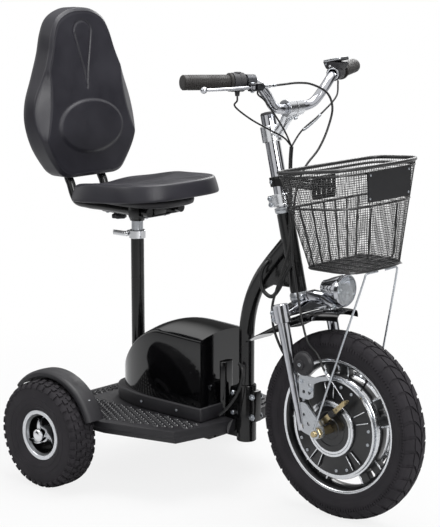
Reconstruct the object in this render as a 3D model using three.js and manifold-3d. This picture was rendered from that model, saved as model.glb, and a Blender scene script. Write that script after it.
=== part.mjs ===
// Seated electric scooter with two rear wheels and one steered front wheel.
// Millimetres. +X is forward, +Y is the rider's left, +Z is up. The model is laid out from the
// ground point under the rear axle, and is then centred on its own bounding box.
import * as THREE from 'three';
import { mergeVertices } from 'three/addons/utils/BufferGeometryUtils.js';
import Module from 'manifold-3d';

const wasm = await Module();
wasm.setup();

// Driving dimensions
const wheelbase = 658;
const rearTrack = 572;
const frontTyreRadius = 216;
const frontTyreWidth = 68;
const rearTyreRadius = 130;
const rearTyreWidth = 80;
const rakeDegrees = 13.5;
const forkOffset = 61;
const forkLength = 287;
const headTubeLength = 180;
const columnLength = 210;
const handlebarWidth = 584;
const handlebarRise = 71;
const deckTop = 170;
const deckDepth = 30;
const deckHalfWidth = 237;
const deckRear = 95;
const deckFront = 345;
const coverLength = 330;
const coverHeight = 200;
const coverHalfWidth = 90;
const seatPostForward = 18;
const seatTop = 702;
const seatLength = 320;
const seatWidth = 314;
const backrestHeight = 410;
const backrestWidth = 322;
const basketHeight = 228;
const gap = 0.3;
const overrun = 2;

// Facet counts
const wheelSegments = 30;
const smallWheelSegments = 20;
const roundSegments = 14;
const fineSegments = 8;

// Finishes
const finish = (color, roughness, metalness) => new THREE.MeshStandardMaterial({ color, roughness, metalness });
const rubber = () => finish(0x1c1c1e, 0.85, 0);
const chrome = () => finish(0xd8dade, 0.12, 1);
const silver = () => finish(0xb9bcc0, 0.35, 0.9);
const zinc = () => finish(0xc9a85a, 0.35, 0.9);
const blackPaint = () => finish(0x161618, 0.35, 0.3);
const blackGloss = () => finish(0x070708, 0.08, 0);
const blackPlastic = () => finish(0x232326, 0.6, 0);
const foamSkin = () => finish(0x28282c, 0.55, 0);
const lensClear = () => finish(0xeef2f5, 0.05, 0);
const cellWrap = () => finish(0x2f4f7a, 0.5, 0);

const radians = THREE.MathUtils.degToRad;
const v2 = (x, y) => new THREE.Vector2(x, y);
const v3 = (x, y, z) => new THREE.Vector3(x, y, z);
const xAxis = v3(1, 0, 0);
const yAxis = v3(0, 1, 0);
const zAxis = v3(0, 0, 1);

// A closed three.js geometry as a solid that can be joined and cut
function asSolid(geometry) {
  const bare = geometry.clone();
  bare.deleteAttribute('normal');
  bare.deleteAttribute('uv');
  const welded = mergeVertices(bare);
  const position = welded.attributes.position;
  const kept = [];
  let volume = 0;
  const corner = [v3(), v3(), v3()];
  for (let i = 0; i < welded.index.count; i += 3) {
    const ids = [0, 1, 2].map((k) => welded.index.getX(i + k));
    if (ids[0] === ids[1] || ids[1] === ids[2] || ids[2] === ids[0]) continue;
    kept.push(ids);
    ids.forEach((id, k) => corner[k].fromBufferAttribute(position, id));
    volume += corner[0].dot(corner[1].clone().cross(corner[2]));
  }
  const faces = volume < 0 ? kept.map(([a, b, c]) => [a, c, b]) : kept;
  const mesh = new wasm.Mesh({
    numProp: 3,
    vertProperties: new Float32Array(position.array),
    triVerts: new Uint32Array(faces.flat()),
  });
  return new wasm.Manifold(mesh);
}

const solidOf = (shape) => (shape.isBufferGeometry ? asSolid(shape) : shape);
const join = (...shapes) => shapes.map(solidOf).reduce((a, b) => a.add(b));
const cut = (shape, ...tools) => tools.map(solidOf).reduce((a, b) => a.subtract(b), solidOf(shape));
const common = (a, b) => solidOf(a).intersect(solidOf(b));

function asGeometry(shape) {
  const mesh = solidOf(shape).getMesh();
  const geometry = new THREE.BufferGeometry();
  geometry.setAttribute('position', new THREE.BufferAttribute(mesh.vertProperties, 3));
  geometry.setIndex(new THREE.BufferAttribute(mesh.triVerts, 1));
  return geometry;
}

// Adds one named piece to a group
function piece(group, name, shape, material) {
  const mesh = new THREE.Mesh(asGeometry(shape), material);
  mesh.name = name;
  group.add(mesh);
  return mesh;
}

function subGroup(parent, x, y, z, turnY = 0) {
  const group = new THREE.Group();
  group.position.set(x, y, z);
  group.rotation.y = turnY;
  parent.add(group);
  return group;
}

const box = (sx, sy, sz, x, y, z) => new THREE.BoxGeometry(sx, sy, sz).translate(x, y, z);

// A round bar from one point to another, with an optional second radius
function rod(from, to, radius, sides = roundSegments, endRadius = radius) {
  const along = to.clone().sub(from);
  const geometry = new THREE.CylinderGeometry(endRadius, radius, along.length(), sides);
  geometry.applyQuaternion(new THREE.Quaternion().setFromUnitVectors(yAxis, along.clone().normalize()));
  return geometry.translate(...from.clone().addScaledVector(along, 0.5).toArray());
}

const rodY = (radius, y0, y1, x = 0, z = 0, sides = roundSegments) => rod(v3(x, y0, z), v3(x, y1, z), radius, sides);
const rodZ = (radius, z0, z1, x = 0, y = 0, sides = roundSegments) => rod(v3(x, y, z0), v3(x, y, z1), radius, sides);

// The radius of a facetted bore that clears a round of the given radius
const boreFor = (radius, sides = roundSegments) => (radius + gap) / Math.cos(Math.PI / sides);

// A turned ring or disc about Y from [radius, y] pairs, half a facet round so that it rests flat
function turned(profile, segments = wheelSegments) {
  const points = profile.map(([r, y]) => v2(r, y));
  const last = profile[profile.length - 1];
  if (profile[0][0] !== last[0] || profile[0][1] !== last[1]) points.push(v2(...profile[0]));
  return new THREE.LatheGeometry(points, segments).rotateY(Math.PI / segments);
}

const turnedUp = (profile, segments = roundSegments) => turned(profile, segments).rotateX(Math.PI / 2);
const ring = (inner, outer, low, high) => [[inner, low], [outer, low], [outer, high], [inner, high]];

// A bent round tube through a list of points
function pipe(points, radius, steps, sides = fineSegments) {
  const outline = new THREE.Shape();
  outline.absarc(0, 0, radius, 0, 2 * Math.PI, false);
  const path = new THREE.CatmullRomCurve3(points, false, 'centripetal');
  return new THREE.ExtrudeGeometry(outline, { steps, extrudePath: path, curveSegments: sides / 2, bevelEnabled: false });
}

// A flat plate in the XZ plane, its middle at y
function plateXZ(shape, thickness, y, curveSegments = fineSegments) {
  const geometry = new THREE.ExtrudeGeometry(shape, { depth: thickness, bevelEnabled: false, curveSegments });
  return geometry.rotateX(Math.PI / 2).translate(0, y + thickness / 2, 0);
}

// A flat plate in the XY plane, its underside at z
function plateXY(shape, thickness, z, curveSegments = fineSegments) {
  const geometry = new THREE.ExtrudeGeometry(shape, { depth: thickness, bevelEnabled: false, curveSegments });
  return geometry.translate(0, 0, z);
}

// A closed skin through a row of equal outlines. The ends are fans about their middles, unless
// flat gives the corners of one outline in its own plane.
function skin(outlines, flat = null) {
  const n = outlines[0].length;
  const end = (outlines.length - 1) * n;
  const positions = outlines.flat().flatMap((p) => p.toArray());
  const index = [];
  for (let i = 0; i + 1 < outlines.length; i += 1) {
    for (let k = 0; k < n; k += 1) {
      const a = i * n + k;
      const b = i * n + ((k + 1) % n);
      index.push(a, b, b + n, a, b + n, a + n);
    }
  }
  if (flat) {
    const clockwise = THREE.ShapeUtils.isClockWise(flat);
    for (const face of THREE.ShapeUtils.triangulateShape(flat, [])) {
      const [a, b, c] = clockwise ? [...face].reverse() : face;
      index.push(c, b, a, end + a, end + b, end + c);
    }
  } else {
    const middles = [outlines[0], outlines[outlines.length - 1]]
      .map((line) => line.reduce((sum, p) => sum.add(p), v3()).divideScalar(n));
    positions.push(...middles.flatMap((p) => p.toArray()));
    for (let k = 0; k < n; k += 1) {
      const next = (k + 1) % n;
      index.push(end + n, next, k, end + n + 1, end + k, end + next);
    }
  }
  const geometry = new THREE.BufferGeometry();
  geometry.setAttribute('position', new THREE.Float32BufferAttribute(positions, 3));
  geometry.setIndex(index);
  return geometry;
}

const smooth = (x) => THREE.MathUtils.smoothstep(x, 0, 1);
const superPoint = (angle, a, b, power) => {
  const c = Math.cos(angle);
  const s = Math.sin(angle);
  const reach = (Math.abs(c) ** power + Math.abs(s) ** power) ** (-1 / power);
  return v2(a * reach * c, b * reach * s);
};

// Places worked out from the driving dimensions
const rake = radians(rakeDegrees);
const frontAxleHeight = frontTyreRadius * Math.cos(Math.PI / wheelSegments);
const rearAxleHeight = rearTyreRadius * Math.cos(Math.PI / smallWheelSegments);
const headX = wheelbase - forkOffset * Math.cos(rake) - forkLength * Math.sin(rake);
const headZ = frontAxleHeight - forkOffset * Math.sin(rake) + forkLength * Math.cos(rake);

const scooter = new THREE.Group();
const chassis = new THREE.Group();
scooter.add(chassis);
const steering = subGroup(scooter, headX, 0, headZ, -rake);

// Parts that turn with the fork but are laid out upright, from the ground point under the rear axle
const uprightOrigin = v3(-headX, 0, -headZ).applyAxisAngle(yAxis, rake);
const upright = subGroup(steering, uprightOrigin.x, 0, uprightOrigin.z, rake);
const onSteering = (x, y, z) => v3(headX + Math.cos(rake) * x - Math.sin(rake) * z, y,
  headZ + Math.sin(rake) * x + Math.cos(rake) * z);

// Base frame: two beams under the deck, an axle tube, cross members and the socket that clamps
// the foot of the column
const columnRadius = 18;
const columnX = 372;
const socket = { radius: 23, bottom: 122, floor: 8, top: 257, flange: 16, flangeHalf: 13, flangeLow: 172, flangeHigh: 246 };
const beam = { width: 26, low: 128, spacing: 62, rear: 14, front: 322 };
const deckSheet = 4;
const beamTop = deckTop - deckSheet - gap;
const rearAxle = { radius: 8.5, length: 618, tube: 15, tubeLength: 430 };

function baseFrame() {
  const height = beamTop - beam.low;
  const middle = beam.low + height / 2;
  const length = beam.front + beam.rear;
  const centre = (beam.front - beam.rear) / 2;
  const parts = [-1, 1].map((side) => box(length, beam.width, height, centre, side * beam.spacing, middle));
  const crossWidth = 2 * beam.spacing;
  parts.push(box(rearAxle.tube * 2, crossWidth, height, seatPostForward, 0, middle));
  parts.push(box(beam.width, crossWidth, height, beam.front - beam.width / 2, 0, middle));
  parts.push(rodY(rearAxle.tube, -rearAxle.tubeLength / 2, rearAxle.tubeLength / 2, 0, rearAxleHeight));
  parts.push(rodZ(socket.radius, socket.bottom, socket.top, columnX));
  const webLength = columnX - beam.front + overrun;
  const webHigh = socket.top - socket.floor;
  const web = new THREE.Shape([
    v2(beam.front - overrun, beam.low), v2(beam.front + webLength, beam.low),
    v2(beam.front + webLength, webHigh), v2(columnX - socket.radius - socket.flange, webHigh),
    v2(beam.front - overrun, beamTop),
  ]);
  parts.push(plateXZ(web, 2 * socket.flangeHalf, 0));
  const flangeHeight = socket.flangeHigh - socket.flangeLow;
  parts.push(box(socket.flange, 2 * socket.flangeHalf, flangeHeight,
    columnX + socket.radius + socket.flange / 4, 0, socket.flangeLow + flangeHeight / 2));
  const bore = rodZ(boreFor(columnRadius), socket.bottom + socket.floor, socket.top + overrun, columnX);
  const axleBore = rodY(rearAxle.radius + gap, -rearAxle.tubeLength, rearAxle.tubeLength, 0, rearAxleHeight);
  return cut(join(...parts), bore, axleBore);
}
piece(chassis, 'base_frame', baseFrame(), blackPaint());
const axleBar = rodY(rearAxle.radius, -rearAxle.length / 2, rearAxle.length / 2, 0, rearAxleHeight);
piece(chassis, 'rear_axle', axleBar, silver());

// Main column: bent tube from the socket to the head tube, with a gusset plate between them
const bend = { radius: 265, degrees: 42, start: 370 };
const headTube = { radius: 19, bore: 15, low: 20 };
const gusset = { thickness: 8, drop: 56, inset: 14, heel: 20, cableHole: 8, cableRise: 9 };

function mainColumn() {
  const points = [v3(columnX, 0, socket.bottom + socket.floor + gap), v3(columnX, 0, bend.start - columnRadius)];
  const turn = radians(bend.degrees);
  const bendSteps = 5;
  for (let i = 0; i <= bendSteps; i += 1) {
    const a = (turn * i) / bendSteps;
    points.push(v3(columnX + bend.radius * (1 - Math.cos(a)), 0, bend.start + bend.radius * Math.sin(a)));
  }
  const top = points[points.length - 1];
  const up = v3(Math.sin(turn), 0, Math.cos(turn));
  const headAt = (z) => v3(headX - Math.sin(rake) * z, 0, headZ + Math.cos(rake) * z);
  const low = headAt(headTube.low);
  const away = v3(low.x - top.x, 0, low.z - top.z);
  const slope = Math.sin(turn + rake);
  const reach = (away.x * Math.cos(rake) + away.z * Math.sin(rake)) / slope;
  const meet = top.clone().addScaledVector(up, reach);
  points.push(meet);
  const high = headAt(headTube.low + headTubeLength);
  const plate = new THREE.Shape([
    v2(top.x, top.z), v2(meet.x, meet.z), v2(low.x - gusset.inset, low.z + gusset.inset / 2),
    v2(low.x - gusset.inset - gusset.heel, low.z + gusset.inset / 2), v2(top.x + gusset.inset, top.z - gusset.drop * 0.75),
    v2(top.x - columnRadius, top.z - gusset.drop * 0.75 - columnRadius),
  ]);
  const bore = rod(headAt(0), headAt(headTube.low + headTubeLength + overrun), headTube.bore);
  const entry = top.clone().addScaledVector(up, 2 * gusset.cableRise);
  const cableHole = rodY(gusset.cableHole, -2 * columnRadius, 0, entry.x, entry.z, 8);
  return cut(join(pipe(points, columnRadius, 12, 12), rod(low, high, headTube.radius),
    plateXZ(plate, gusset.thickness, 0)), bore, cableHole);
}
piece(chassis, 'main_column', mainColumn(), blackPaint());

// Headset cups, pressed on the two ends of the head tube
const steererRadius = 12.7;
const cup = { bore: 13.2, radius: 22, skirt: 19, lip: 4 };
const cupLow = [[cup.bore, gap * 10], [cup.radius, gap * 10], [cup.radius, headTube.low - cup.lip],
  [cup.skirt, headTube.low - gap], [cup.bore, headTube.low - gap]];
const headTop = headTube.low + headTubeLength;
const cupHeight = 14;
const cupHigh = [[cup.bore, headTop + gap], [cup.skirt, headTop + gap], [cup.radius, headTop + cup.lip],
  [cup.radius, headTop + cupHeight - gap], [cup.bore, headTop + cupHeight - gap]];
const cups = subGroup(chassis, headX, 0, headZ, -rake);
piece(cups, 'headset_cup_lower', turnedUp(cupLow), silver());
piece(cups, 'headset_cup_upper', turnedUp(cupHigh), silver());

// Deck: moulded platform, wide between the rear wheels, tapering to a blunt nose at the column
const deck = { shoulderX: 130, cornerX: 315, cornerHalf: 188, noseHalf: 40, wall: 5, rise: 30, riseStart: 45, riseFrom: 97 };
const deckHalfAt = (x, inset) => {
  if (x <= deck.shoulderX) return deckHalfWidth - inset;
  const shoulderShare = (x - deck.shoulderX) / (deck.cornerX - deck.shoulderX);
  if (x <= deck.cornerX) return deckHalfWidth + (deck.cornerHalf - deckHalfWidth) * shoulderShare - inset;
  const noseShare = (x - deck.cornerX) / (deckFront - deck.cornerX);
  return deck.cornerHalf + (deck.noseHalf - deck.cornerHalf) * noseShare - inset;
};
const deckRise = (x, y) => {
  const back = smooth((deck.riseStart - x) / (deck.riseStart + deckRear));
  return deck.rise * back * smooth((Math.abs(y) - deck.riseFrom) / (deckHalfWidth - deck.riseFrom));
};

function deckBody(inset, low, drop) {
  const stations = [-deckRear + inset, -deckRear / 3, deck.riseStart, deck.shoulderX, deck.cornerX, deckFront - inset];
  const across = [-1, -0.85, -0.65, -0.42, 0.42, 0.65, 0.85, 1];
  const outlines = stations.map((x) => {
    const half = deckHalfAt(x, inset);
    const topLine = across.map((share) => v3(x, share * half, deckTop - drop + deckRise(x, share * half)));
    return [...topLine, v3(x, half, low), v3(x, -half, low)];
  });
  return skin(outlines);
}

// The seat post's fixed outer tube, which stands in a hole through the deck and the cover
const outerPost = { radius: 16, bore: 14.3, top: 580, holeRadius: 3.5, holes: [460, 505] };

function deckPlate() {
  const shell = cut(deckBody(0, deckTop - deckDepth, 0),
    deckBody(deck.wall, deckTop - deckDepth - overrun, deckSheet));
  const postHole = rodZ(outerPost.radius + gap, deckTop - deckDepth, deckTop + deck.rise, seatPostForward);
  const notchLength = deckFront - beam.front + 2 * overrun;
  const notch = box(notchLength, 2 * (socket.flangeHalf + gap), 4 * deckDepth, deckFront + overrun - notchLength / 2, 0, deckTop);
  return cut(shell, postHole, notch);
}
piece(chassis, 'deck', deckPlate(), blackPlastic());

// Battery cover: glossy dome, round and sloping at the back, upright at the front, with a base skirt
const cover = { rear: 22, wall: 3, skirt: 34, flare: 5, roundLength: 190, crown: 12, cornerPower: 5, roundPower: 2.4 };
const coverFront = coverLength - cover.rear;
const coverFloor = deckTop + gap;

function coverForm(inset, low) {
  const stationShares = [0, 0.03, 0.1, 0.2, 0.34, 0.52, 0.75, 1];
  const sectionCount = 8;
  const outlines = stationShares.map((share) => {
    const x = -cover.rear + inset + share * (coverLength - 2 * inset);
    const into = Math.min(1, (x + cover.rear + gap) / cover.roundLength);
    const round = Math.max(0.04, (1 - (1 - into) ** cover.roundPower) ** (1 / cover.roundPower));
    const half = (coverHalfWidth - inset) * round;
    const high = coverFloor + cover.skirt + (coverHeight - cover.skirt - inset) * round;
    const side = [v3(x, -half, low), v3(x, -half, coverFloor + cover.skirt)];
    const arch = [];
    for (let i = 0; i <= sectionCount; i += 1) {
      const p = superPoint(Math.PI - (Math.PI * i) / sectionCount, half, high - coverFloor - cover.skirt, cover.cornerPower);
      const lift = cover.crown * (1 - (p.x / half) ** 2) * (i % sectionCount ? 1 : 0) * share;
      arch.push(v3(x, p.x, coverFloor + cover.skirt + p.y + lift));
    }
    return [side[0], ...arch, v3(x, half, low)];
  });
  return skin(outlines);
}

function coverSkirt(inset, low, high, flare) {
  const outline = new THREE.Shape();
  const half = coverHalfWidth + flare - inset;
  const points = 9;
  outline.moveTo(coverFront + flare - inset, -half);
  outline.lineTo(coverFront + flare - inset, half);
  for (let i = 0; i <= points; i += 1) {
    const p = superPoint(Math.PI / 2 + (Math.PI * i) / points, cover.roundLength + flare - inset, half, cover.roundPower);
    outline.lineTo(cover.roundLength - cover.rear + p.x, p.y);
  }
  return plateXY(outline, high - low, low);
}

function batteryCover() {
  const outer = join(coverForm(0, coverFloor), coverSkirt(0, coverFloor, coverFloor + cover.skirt, cover.flare));
  const inner = join(coverForm(cover.wall, coverFloor - overrun),
    coverSkirt(cover.wall, coverFloor - overrun, coverFloor + cover.skirt - cover.wall, cover.flare));
  const postHole = rodZ(outerPost.radius + 2 * gap, coverFloor, coverFloor + 2 * coverHeight, seatPostForward);
  return cut(outer, inner, postHole);
}
piece(chassis, 'battery_cover', batteryCover(), blackGloss());

// Battery pack and motor controller on the deck under the cover
const battery = { length: 170, width: 150, height: 130, rear: 118 };
const controller = { length: 62, width: 96, height: 34, rear: 44, fins: 6, fin: 3, finHeight: 6 };
const packFloor = deckTop + 2 * gap;
const packBox = box(battery.length, battery.width, battery.height,
  battery.rear + battery.length / 2, 0, packFloor + battery.height / 2);
piece(chassis, 'battery_pack', packBox, cellWrap());

function controllerBox() {
  const body = box(controller.length, controller.width, controller.height,
    controller.rear + controller.length / 2, 0, packFloor + controller.height / 2);
  const fins = [];
  for (let i = 0; i < controller.fins; i += 1) {
    const y = ((i + 0.5) / controller.fins - 0.5) * controller.width;
    fins.push(box(controller.length, controller.fin, controller.finHeight + overrun,
      controller.rear + controller.length / 2, y, packFloor + controller.height + (controller.finHeight - overrun) / 2));
  }
  return join(body, ...fins);
}
piece(chassis, 'motor_controller', controllerBox(), silver());

// Fenders over the inner half of each rear wheel, with a rolled outer lip
const fender = { clearance: 14, wall: 4, inner: deckHalfWidth + 2 * gap, outer: 288, lip: 9, cheek: 42, startDegrees: 20, endDegrees: 146, steps: 11 };

function fenderShell(side) {
  const low = rearTyreRadius + fender.clearance;
  const high = low + fender.wall;
  const section = [
    v2(fender.inner, high), v2(fender.inner + fender.wall, high + fender.wall / 2),
    v2(fender.outer - fender.wall, high + fender.wall / 2), v2(fender.outer, high - fender.wall / 2),
    v2(fender.outer, low - fender.lip), v2(fender.outer - fender.wall, low - fender.lip),
    v2(fender.outer - fender.wall, low - fender.wall / 4), v2(fender.inner + fender.wall, low),
    v2(fender.inner + fender.wall, low - fender.cheek), v2(fender.inner, low - fender.cheek),
  ];
  const outlines = [];
  for (let i = 0; i <= fender.steps; i += 1) {
    const a = radians(fender.startDegrees + ((fender.endDegrees - fender.startDegrees) * i) / fender.steps);
    outlines.push(section.map((p) => v3(p.y * Math.cos(a), side * p.x, rearAxleHeight + p.y * Math.sin(a))));
  }
  return skin(outlines, section);
}

// Rear wheels: block tyre on a dished rim with curved spokes and a chrome hub cap
const rearRim = { ring: 60, bead: 52, halfWidth: 27, hub: 19, hubHalf: 21, spokes: 3, web: 7, spokeStart: 15, sweepDegrees: 38, spokeWide: 15, spokeNarrow: 10 };
const hubCap = { radius: 16, depth: 16, dome: 6 };

function rearTyre() {
  const half = rearTyreWidth / 2;
  const crown = rearTyreRadius;
  const bead = rearRim.bead + gap + gap;
  const shoulderShare = 0.9;
  const edge = rearRim.halfWidth - 2 * gap;
  return turned([
    [bead, -edge + rearRim.web], [rearRim.ring + gap, -edge - gap], [rearRim.ring + rearRim.web, -half * shoulderShare],
    [crown * 0.72, -half], [crown * 0.93, -half * shoulderShare], [crown, -half * 0.55],
    [crown, half * 0.55], [crown * 0.93, half * shoulderShare], [crown * 0.72, half],
    [rearRim.ring + rearRim.web, half * shoulderShare], [rearRim.ring + gap, edge + gap], [bead, edge - rearRim.web],
  ], smallWheelSegments);
}

function rearWheelRim(side) {
  const wall = rearRim.bead - rearRim.web;
  const w = rearRim.halfWidth;
  const barrel = turned([
    [rearRim.ring, -w - gap * 10], [rearRim.ring, -w], [rearRim.bead, -w + rearRim.web], [rearRim.bead, w - rearRim.web],
    [rearRim.ring, w], [rearRim.ring, w + gap * 10], [wall, w - rearRim.web], [wall, -w + rearRim.web],
  ], smallWheelSegments);
  const hub = rodY(rearRim.hub, -rearRim.hubHalf, rearRim.hubHalf);
  const parts = [barrel, hub];
  for (let i = 0; i < rearRim.spokes; i += 1) {
    const shape = new THREE.Shape();
    const turn = radians(rearRim.sweepDegrees);
    const outer = wall + rearRim.web / 2;
    shape.moveTo(rearRim.spokeStart, -rearRim.spokeNarrow);
    shape.quadraticCurveTo(outer / 2, -rearRim.spokeNarrow / 2, outer * Math.cos(turn) + rearRim.spokeWide / 4, outer * Math.sin(turn) - rearRim.spokeWide / 2);
    shape.lineTo(outer * Math.cos(turn) - rearRim.spokeWide / 2, outer * Math.sin(turn) + rearRim.spokeWide / 4);
    shape.quadraticCurveTo(outer / 3, rearRim.spokeWide, rearRim.spokeStart, rearRim.spokeNarrow);
    const spoke = plateXZ(shape, rearRim.web, side * rearRim.web, 4);
    parts.push(spoke.rotateY((2 * Math.PI * i) / rearRim.spokes));
  }
  return cut(join(...parts), rodY(rearAxle.radius + gap, -2 * rearRim.hubHalf, 2 * rearRim.hubHalf));
}

function rearHubCap() {
  const start = rearRim.hubHalf + gap;
  const axleEnd = rearAxle.length / 2 - rearTrack / 2 + gap;
  return turned([
    [rearAxle.radius + gap, start], [hubCap.radius, start], [hubCap.radius, start + hubCap.depth - hubCap.dome],
    [hubCap.radius - hubCap.dome / 2, start + hubCap.depth], [0, start + hubCap.depth + hubCap.dome / 2],
    [0, Math.min(axleEnd, start + hubCap.depth)], [rearAxle.radius + gap, Math.min(axleEnd, start + hubCap.depth)],
  ], 16);
}

for (const [name, side] of [['right', -1], ['left', 1]]) {
  piece(chassis, `fender_${name}`, fenderShell(side), blackPlastic());
  const wheel = subGroup(scooter, 0, side * rearTrack / 2, rearAxleHeight);
  piece(wheel, `rear_tyre_${name}`, rearTyre(), rubber());
  piece(wheel, `rear_rim_${name}`, rearWheelRim(side), silver());
  const cap = rearHubCap();
  if (side < 0) cap.rotateZ(Math.PI);
  piece(wheel, `rear_hub_cap_${name}`, cap, chrome());
}

// Seat post: fixed outer tube, sliding inner tube, clamp collar and quick-release lever
const innerPost = { radius: 14, bottom: 330, wall: 2.5 };
const collar = { radius: 20, low: 561, high: 581, lugReach: 28, lugHalf: 9, lugHeight: 14, slot: 3 };
const lever = { reach: 34, thickness: 6, height: 11, eye: 8, standOff: gap };
const post = subGroup(scooter, seatPostForward, 0, 0);

function outerSeatPost() {
  const tube = rodZ(outerPost.radius, beamTop + gap, outerPost.top);
  const bore = rodZ(outerPost.bore, deckTop, outerPost.top + overrun);
  const pins = outerPost.holes.map((z) => rod(v3(0, 0, z), v3(2 * outerPost.radius, 0, z), outerPost.holeRadius, 8));
  return cut(tube, bore, ...pins);
}
piece(post, 'seat_post_outer', outerSeatPost(), blackPaint());

function postCollar() {
  const middle = (collar.low + collar.high) / 2;
  const body = rodZ(collar.radius, collar.low, collar.high);
  const lugs = box(collar.lugReach, 2 * collar.lugHalf, collar.lugHeight, -collar.lugReach / 2, 0, middle);
  const slot = box(collar.lugReach, collar.slot, 2 * collar.lugHeight, -collar.lugReach, 0, middle);
  return cut(join(body, lugs), slot, rodZ(outerPost.radius + gap, collar.low - overrun, collar.high + overrun));
}
piece(post, 'seat_collar', postCollar(), chrome());

const leverX = -collar.lugReach + collar.lugHalf / 2;
const leverY = -collar.lugHalf - lever.standOff - lever.eye;
const leverGroup = subGroup(post, leverX, leverY, (collar.low + collar.high) / 2);

function releaseLever() {
  const eye = rodZ(lever.eye, -lever.height / 2, lever.height / 2);
  const bladeShape = new THREE.Shape([
    v2(0, -lever.eye), v2(-lever.reach, -lever.eye), v2(-lever.reach - lever.thickness, -lever.thickness / 2),
    v2(-lever.reach, lever.thickness / 4), v2(0, lever.eye / 2),
  ]);
  return join(eye, plateXY(bladeShape, lever.height, -lever.height / 2));
}
piece(leverGroup, 'quick_release_lever', releaseLever(), blackPaint());

// Seat: bracket on the inner post, foam cushion, backrest on two bent tubes held by a knob
const bracketPlate = { low: 623, thickness: 5, rear: 86, front: 78, half: 42 };
const seatRail = { low: bracketPlate.low + bracketPlate.thickness + gap, radius: 11, spacing: 55, front: 96, sideWall: 4 };
const railAxis = seatRail.low + seatRail.radius;
const seatBottom = seatRail.low + 2 * seatRail.radius + 2 * gap;
const guide = { length: 34, front: 74 };
const seatFoam = seatTop - seatBottom;

function innerSeatPost() {
  const tube = rodZ(innerPost.radius, innerPost.bottom, bracketPlate.low + bracketPlate.thickness);
  return cut(tube, rodZ(innerPost.radius - innerPost.wall, innerPost.bottom - overrun, bracketPlate.low - 2 * seatRail.radius));
}

function seatBracket() {
  const length = bracketPlate.rear + bracketPlate.front;
  const outer = seatRail.spacing + seatRail.radius + seatRail.sideWall + gap;
  const plate = box(length, 2 * bracketPlate.half, bracketPlate.thickness,
    (bracketPlate.front - bracketPlate.rear) / 2, 0, bracketPlate.low + bracketPlate.thickness / 2);
  const middleHeight = seatBottom - gap - bracketPlate.low;
  const spine = box(length, bracketPlate.half, middleHeight,
    (bracketPlate.front - bracketPlate.rear) / 2, 0, bracketPlate.low + middleHeight / 2);
  const guideX = guide.front - guide.length / 2;
  const bridge = box(guide.length, 2 * outer, middleHeight, guideX, 0, bracketPlate.low + middleHeight / 2);
  const bores = [-1, 1].map((side) => rod(v3(-bracketPlate.rear - overrun, side * seatRail.spacing, railAxis),
    v3(seatRail.front + overrun, side * seatRail.spacing, railAxis), seatRail.radius + gap));
  return cut(join(plate, spine, bridge, innerSeatPost()), ...bores);
}
piece(post, 'seat_bracket', seatBracket(), blackPaint());

// The cushion's rim is a rounded square. Its top is dished behind and swells up at the nose.
const seatForm = { power: 3, forward: 28, noseLift: 20, dish: 14, sideDraw: 7, edgeRound: 12, rings: 6, points: 28 };

function seatCushion() {
  const a = seatLength / 2;
  const b = seatWidth / 2;
  const rim = (angle, inset) => superPoint(angle, a - inset, b - inset, seatForm.power);
  const nose = (x) => smooth((x / a + 0.35) / 1.2) * seatForm.noseLift;
  const underLift = (x) => smooth((x / a) / 1.2) * seatForm.noseLift / 2;
  const levels = [
    [seatForm.sideDraw + seatForm.edgeRound, 0], [seatForm.sideDraw, seatForm.edgeRound / 3],
    [seatForm.sideDraw / 3, seatFoam / 2], [0, seatFoam - seatForm.edgeRound],
    [seatForm.edgeRound / 3, seatFoam - seatForm.edgeRound / 4], [seatForm.edgeRound, seatFoam],
  ];
  const foamBottom = seatBottom;
  const outlines = levels.map(([inset, height]) => {
    const line = [];
    for (let i = 0; i < seatForm.points; i += 1) {
      const p = rim((2 * Math.PI * i) / seatForm.points, inset);
      const heightShare = height / seatFoam;
      line.push(v3(p.x, p.y, foamBottom + height + nose(p.x) * heightShare + underLift(p.x) * (1 - heightShare)));
    }
    return line;
  });
  const dishShares = [0.8, 0.5, 0.2];
  for (const share of dishShares) {
    outlines.push(outlines[levels.length - 1].map((p) => {
      const x = p.x * share;
      const bowl = seatForm.dish * (1 - share * share) * (1 - smooth((x / a - 0.2) / 0.7));
      return v3(x, p.y * share, seatTop + nose(x) - bowl);
    }));
  }
  outlines.unshift(outlines[0].map((p) => v3(p.x / 2, p.y / 2, foamBottom)));
  return skin(outlines);
}
const cushionMesh = piece(post, 'seat_cushion', seatCushion(), foamSkin());
cushionMesh.position.set(seatForm.forward, 0, 0);

// Backrest: egg-shaped foam panel, widest below the middle, leaning back, thinner at the top
const back = { bottom: 700, forward: -183, lean: 40, thickness: 70, topThickness: 46, tubeBend: 46, tubeTop: 300, points: 40 };
const backHalfShares = [
  [0, 0.44], [0.02, 0.6], [0.08, 0.74], [0.18, 0.88], [0.32, 1], [0.46, 0.96], [0.6, 0.8], [0.74, 0.67], [0.86, 0.58], [0.94, 0.47], [0.985, 0.28], [1, 0.1],
];

function backrestPad() {
  const half = backrestWidth / 2;
  const outline = (inset) => {
    const right = backHalfShares.map(([heightShare, widthShare]) => {
      const y = half * widthShare;
      const z = backrestHeight * heightShare;
      const pull = Math.max(0.2, 1 - inset / half);
      return v2(y * pull, backrestHeight / 2 + (z - backrestHeight / 2) * (1 - (2 * inset) / backrestHeight));
    });
    return [...right, ...right.map((p) => v2(-p.x, p.y)).reverse()];
  };
  const level = (inset, depthShare, bulge) => outline(inset).map((p) => {
    const heightShare = p.y / backrestHeight;
    const thick = back.thickness + (back.topThickness - back.thickness) * heightShare;
    return v3(back.forward - back.lean * heightShare + thick * (depthShare - 0.5) + bulge, p.x, back.bottom + p.y);
  });
  const outlines = [
    level(22, 0, 0), level(6, 0.06, 0), level(0, 0.3, 0), level(2, 0.62, 0), level(12, 0.8, 0),
    level(30, 0.84, 0), level(42, 0.96, 0), level(58, 1, 0), level(90, 1, 4),
  ];
  return skin(outlines);
}

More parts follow.
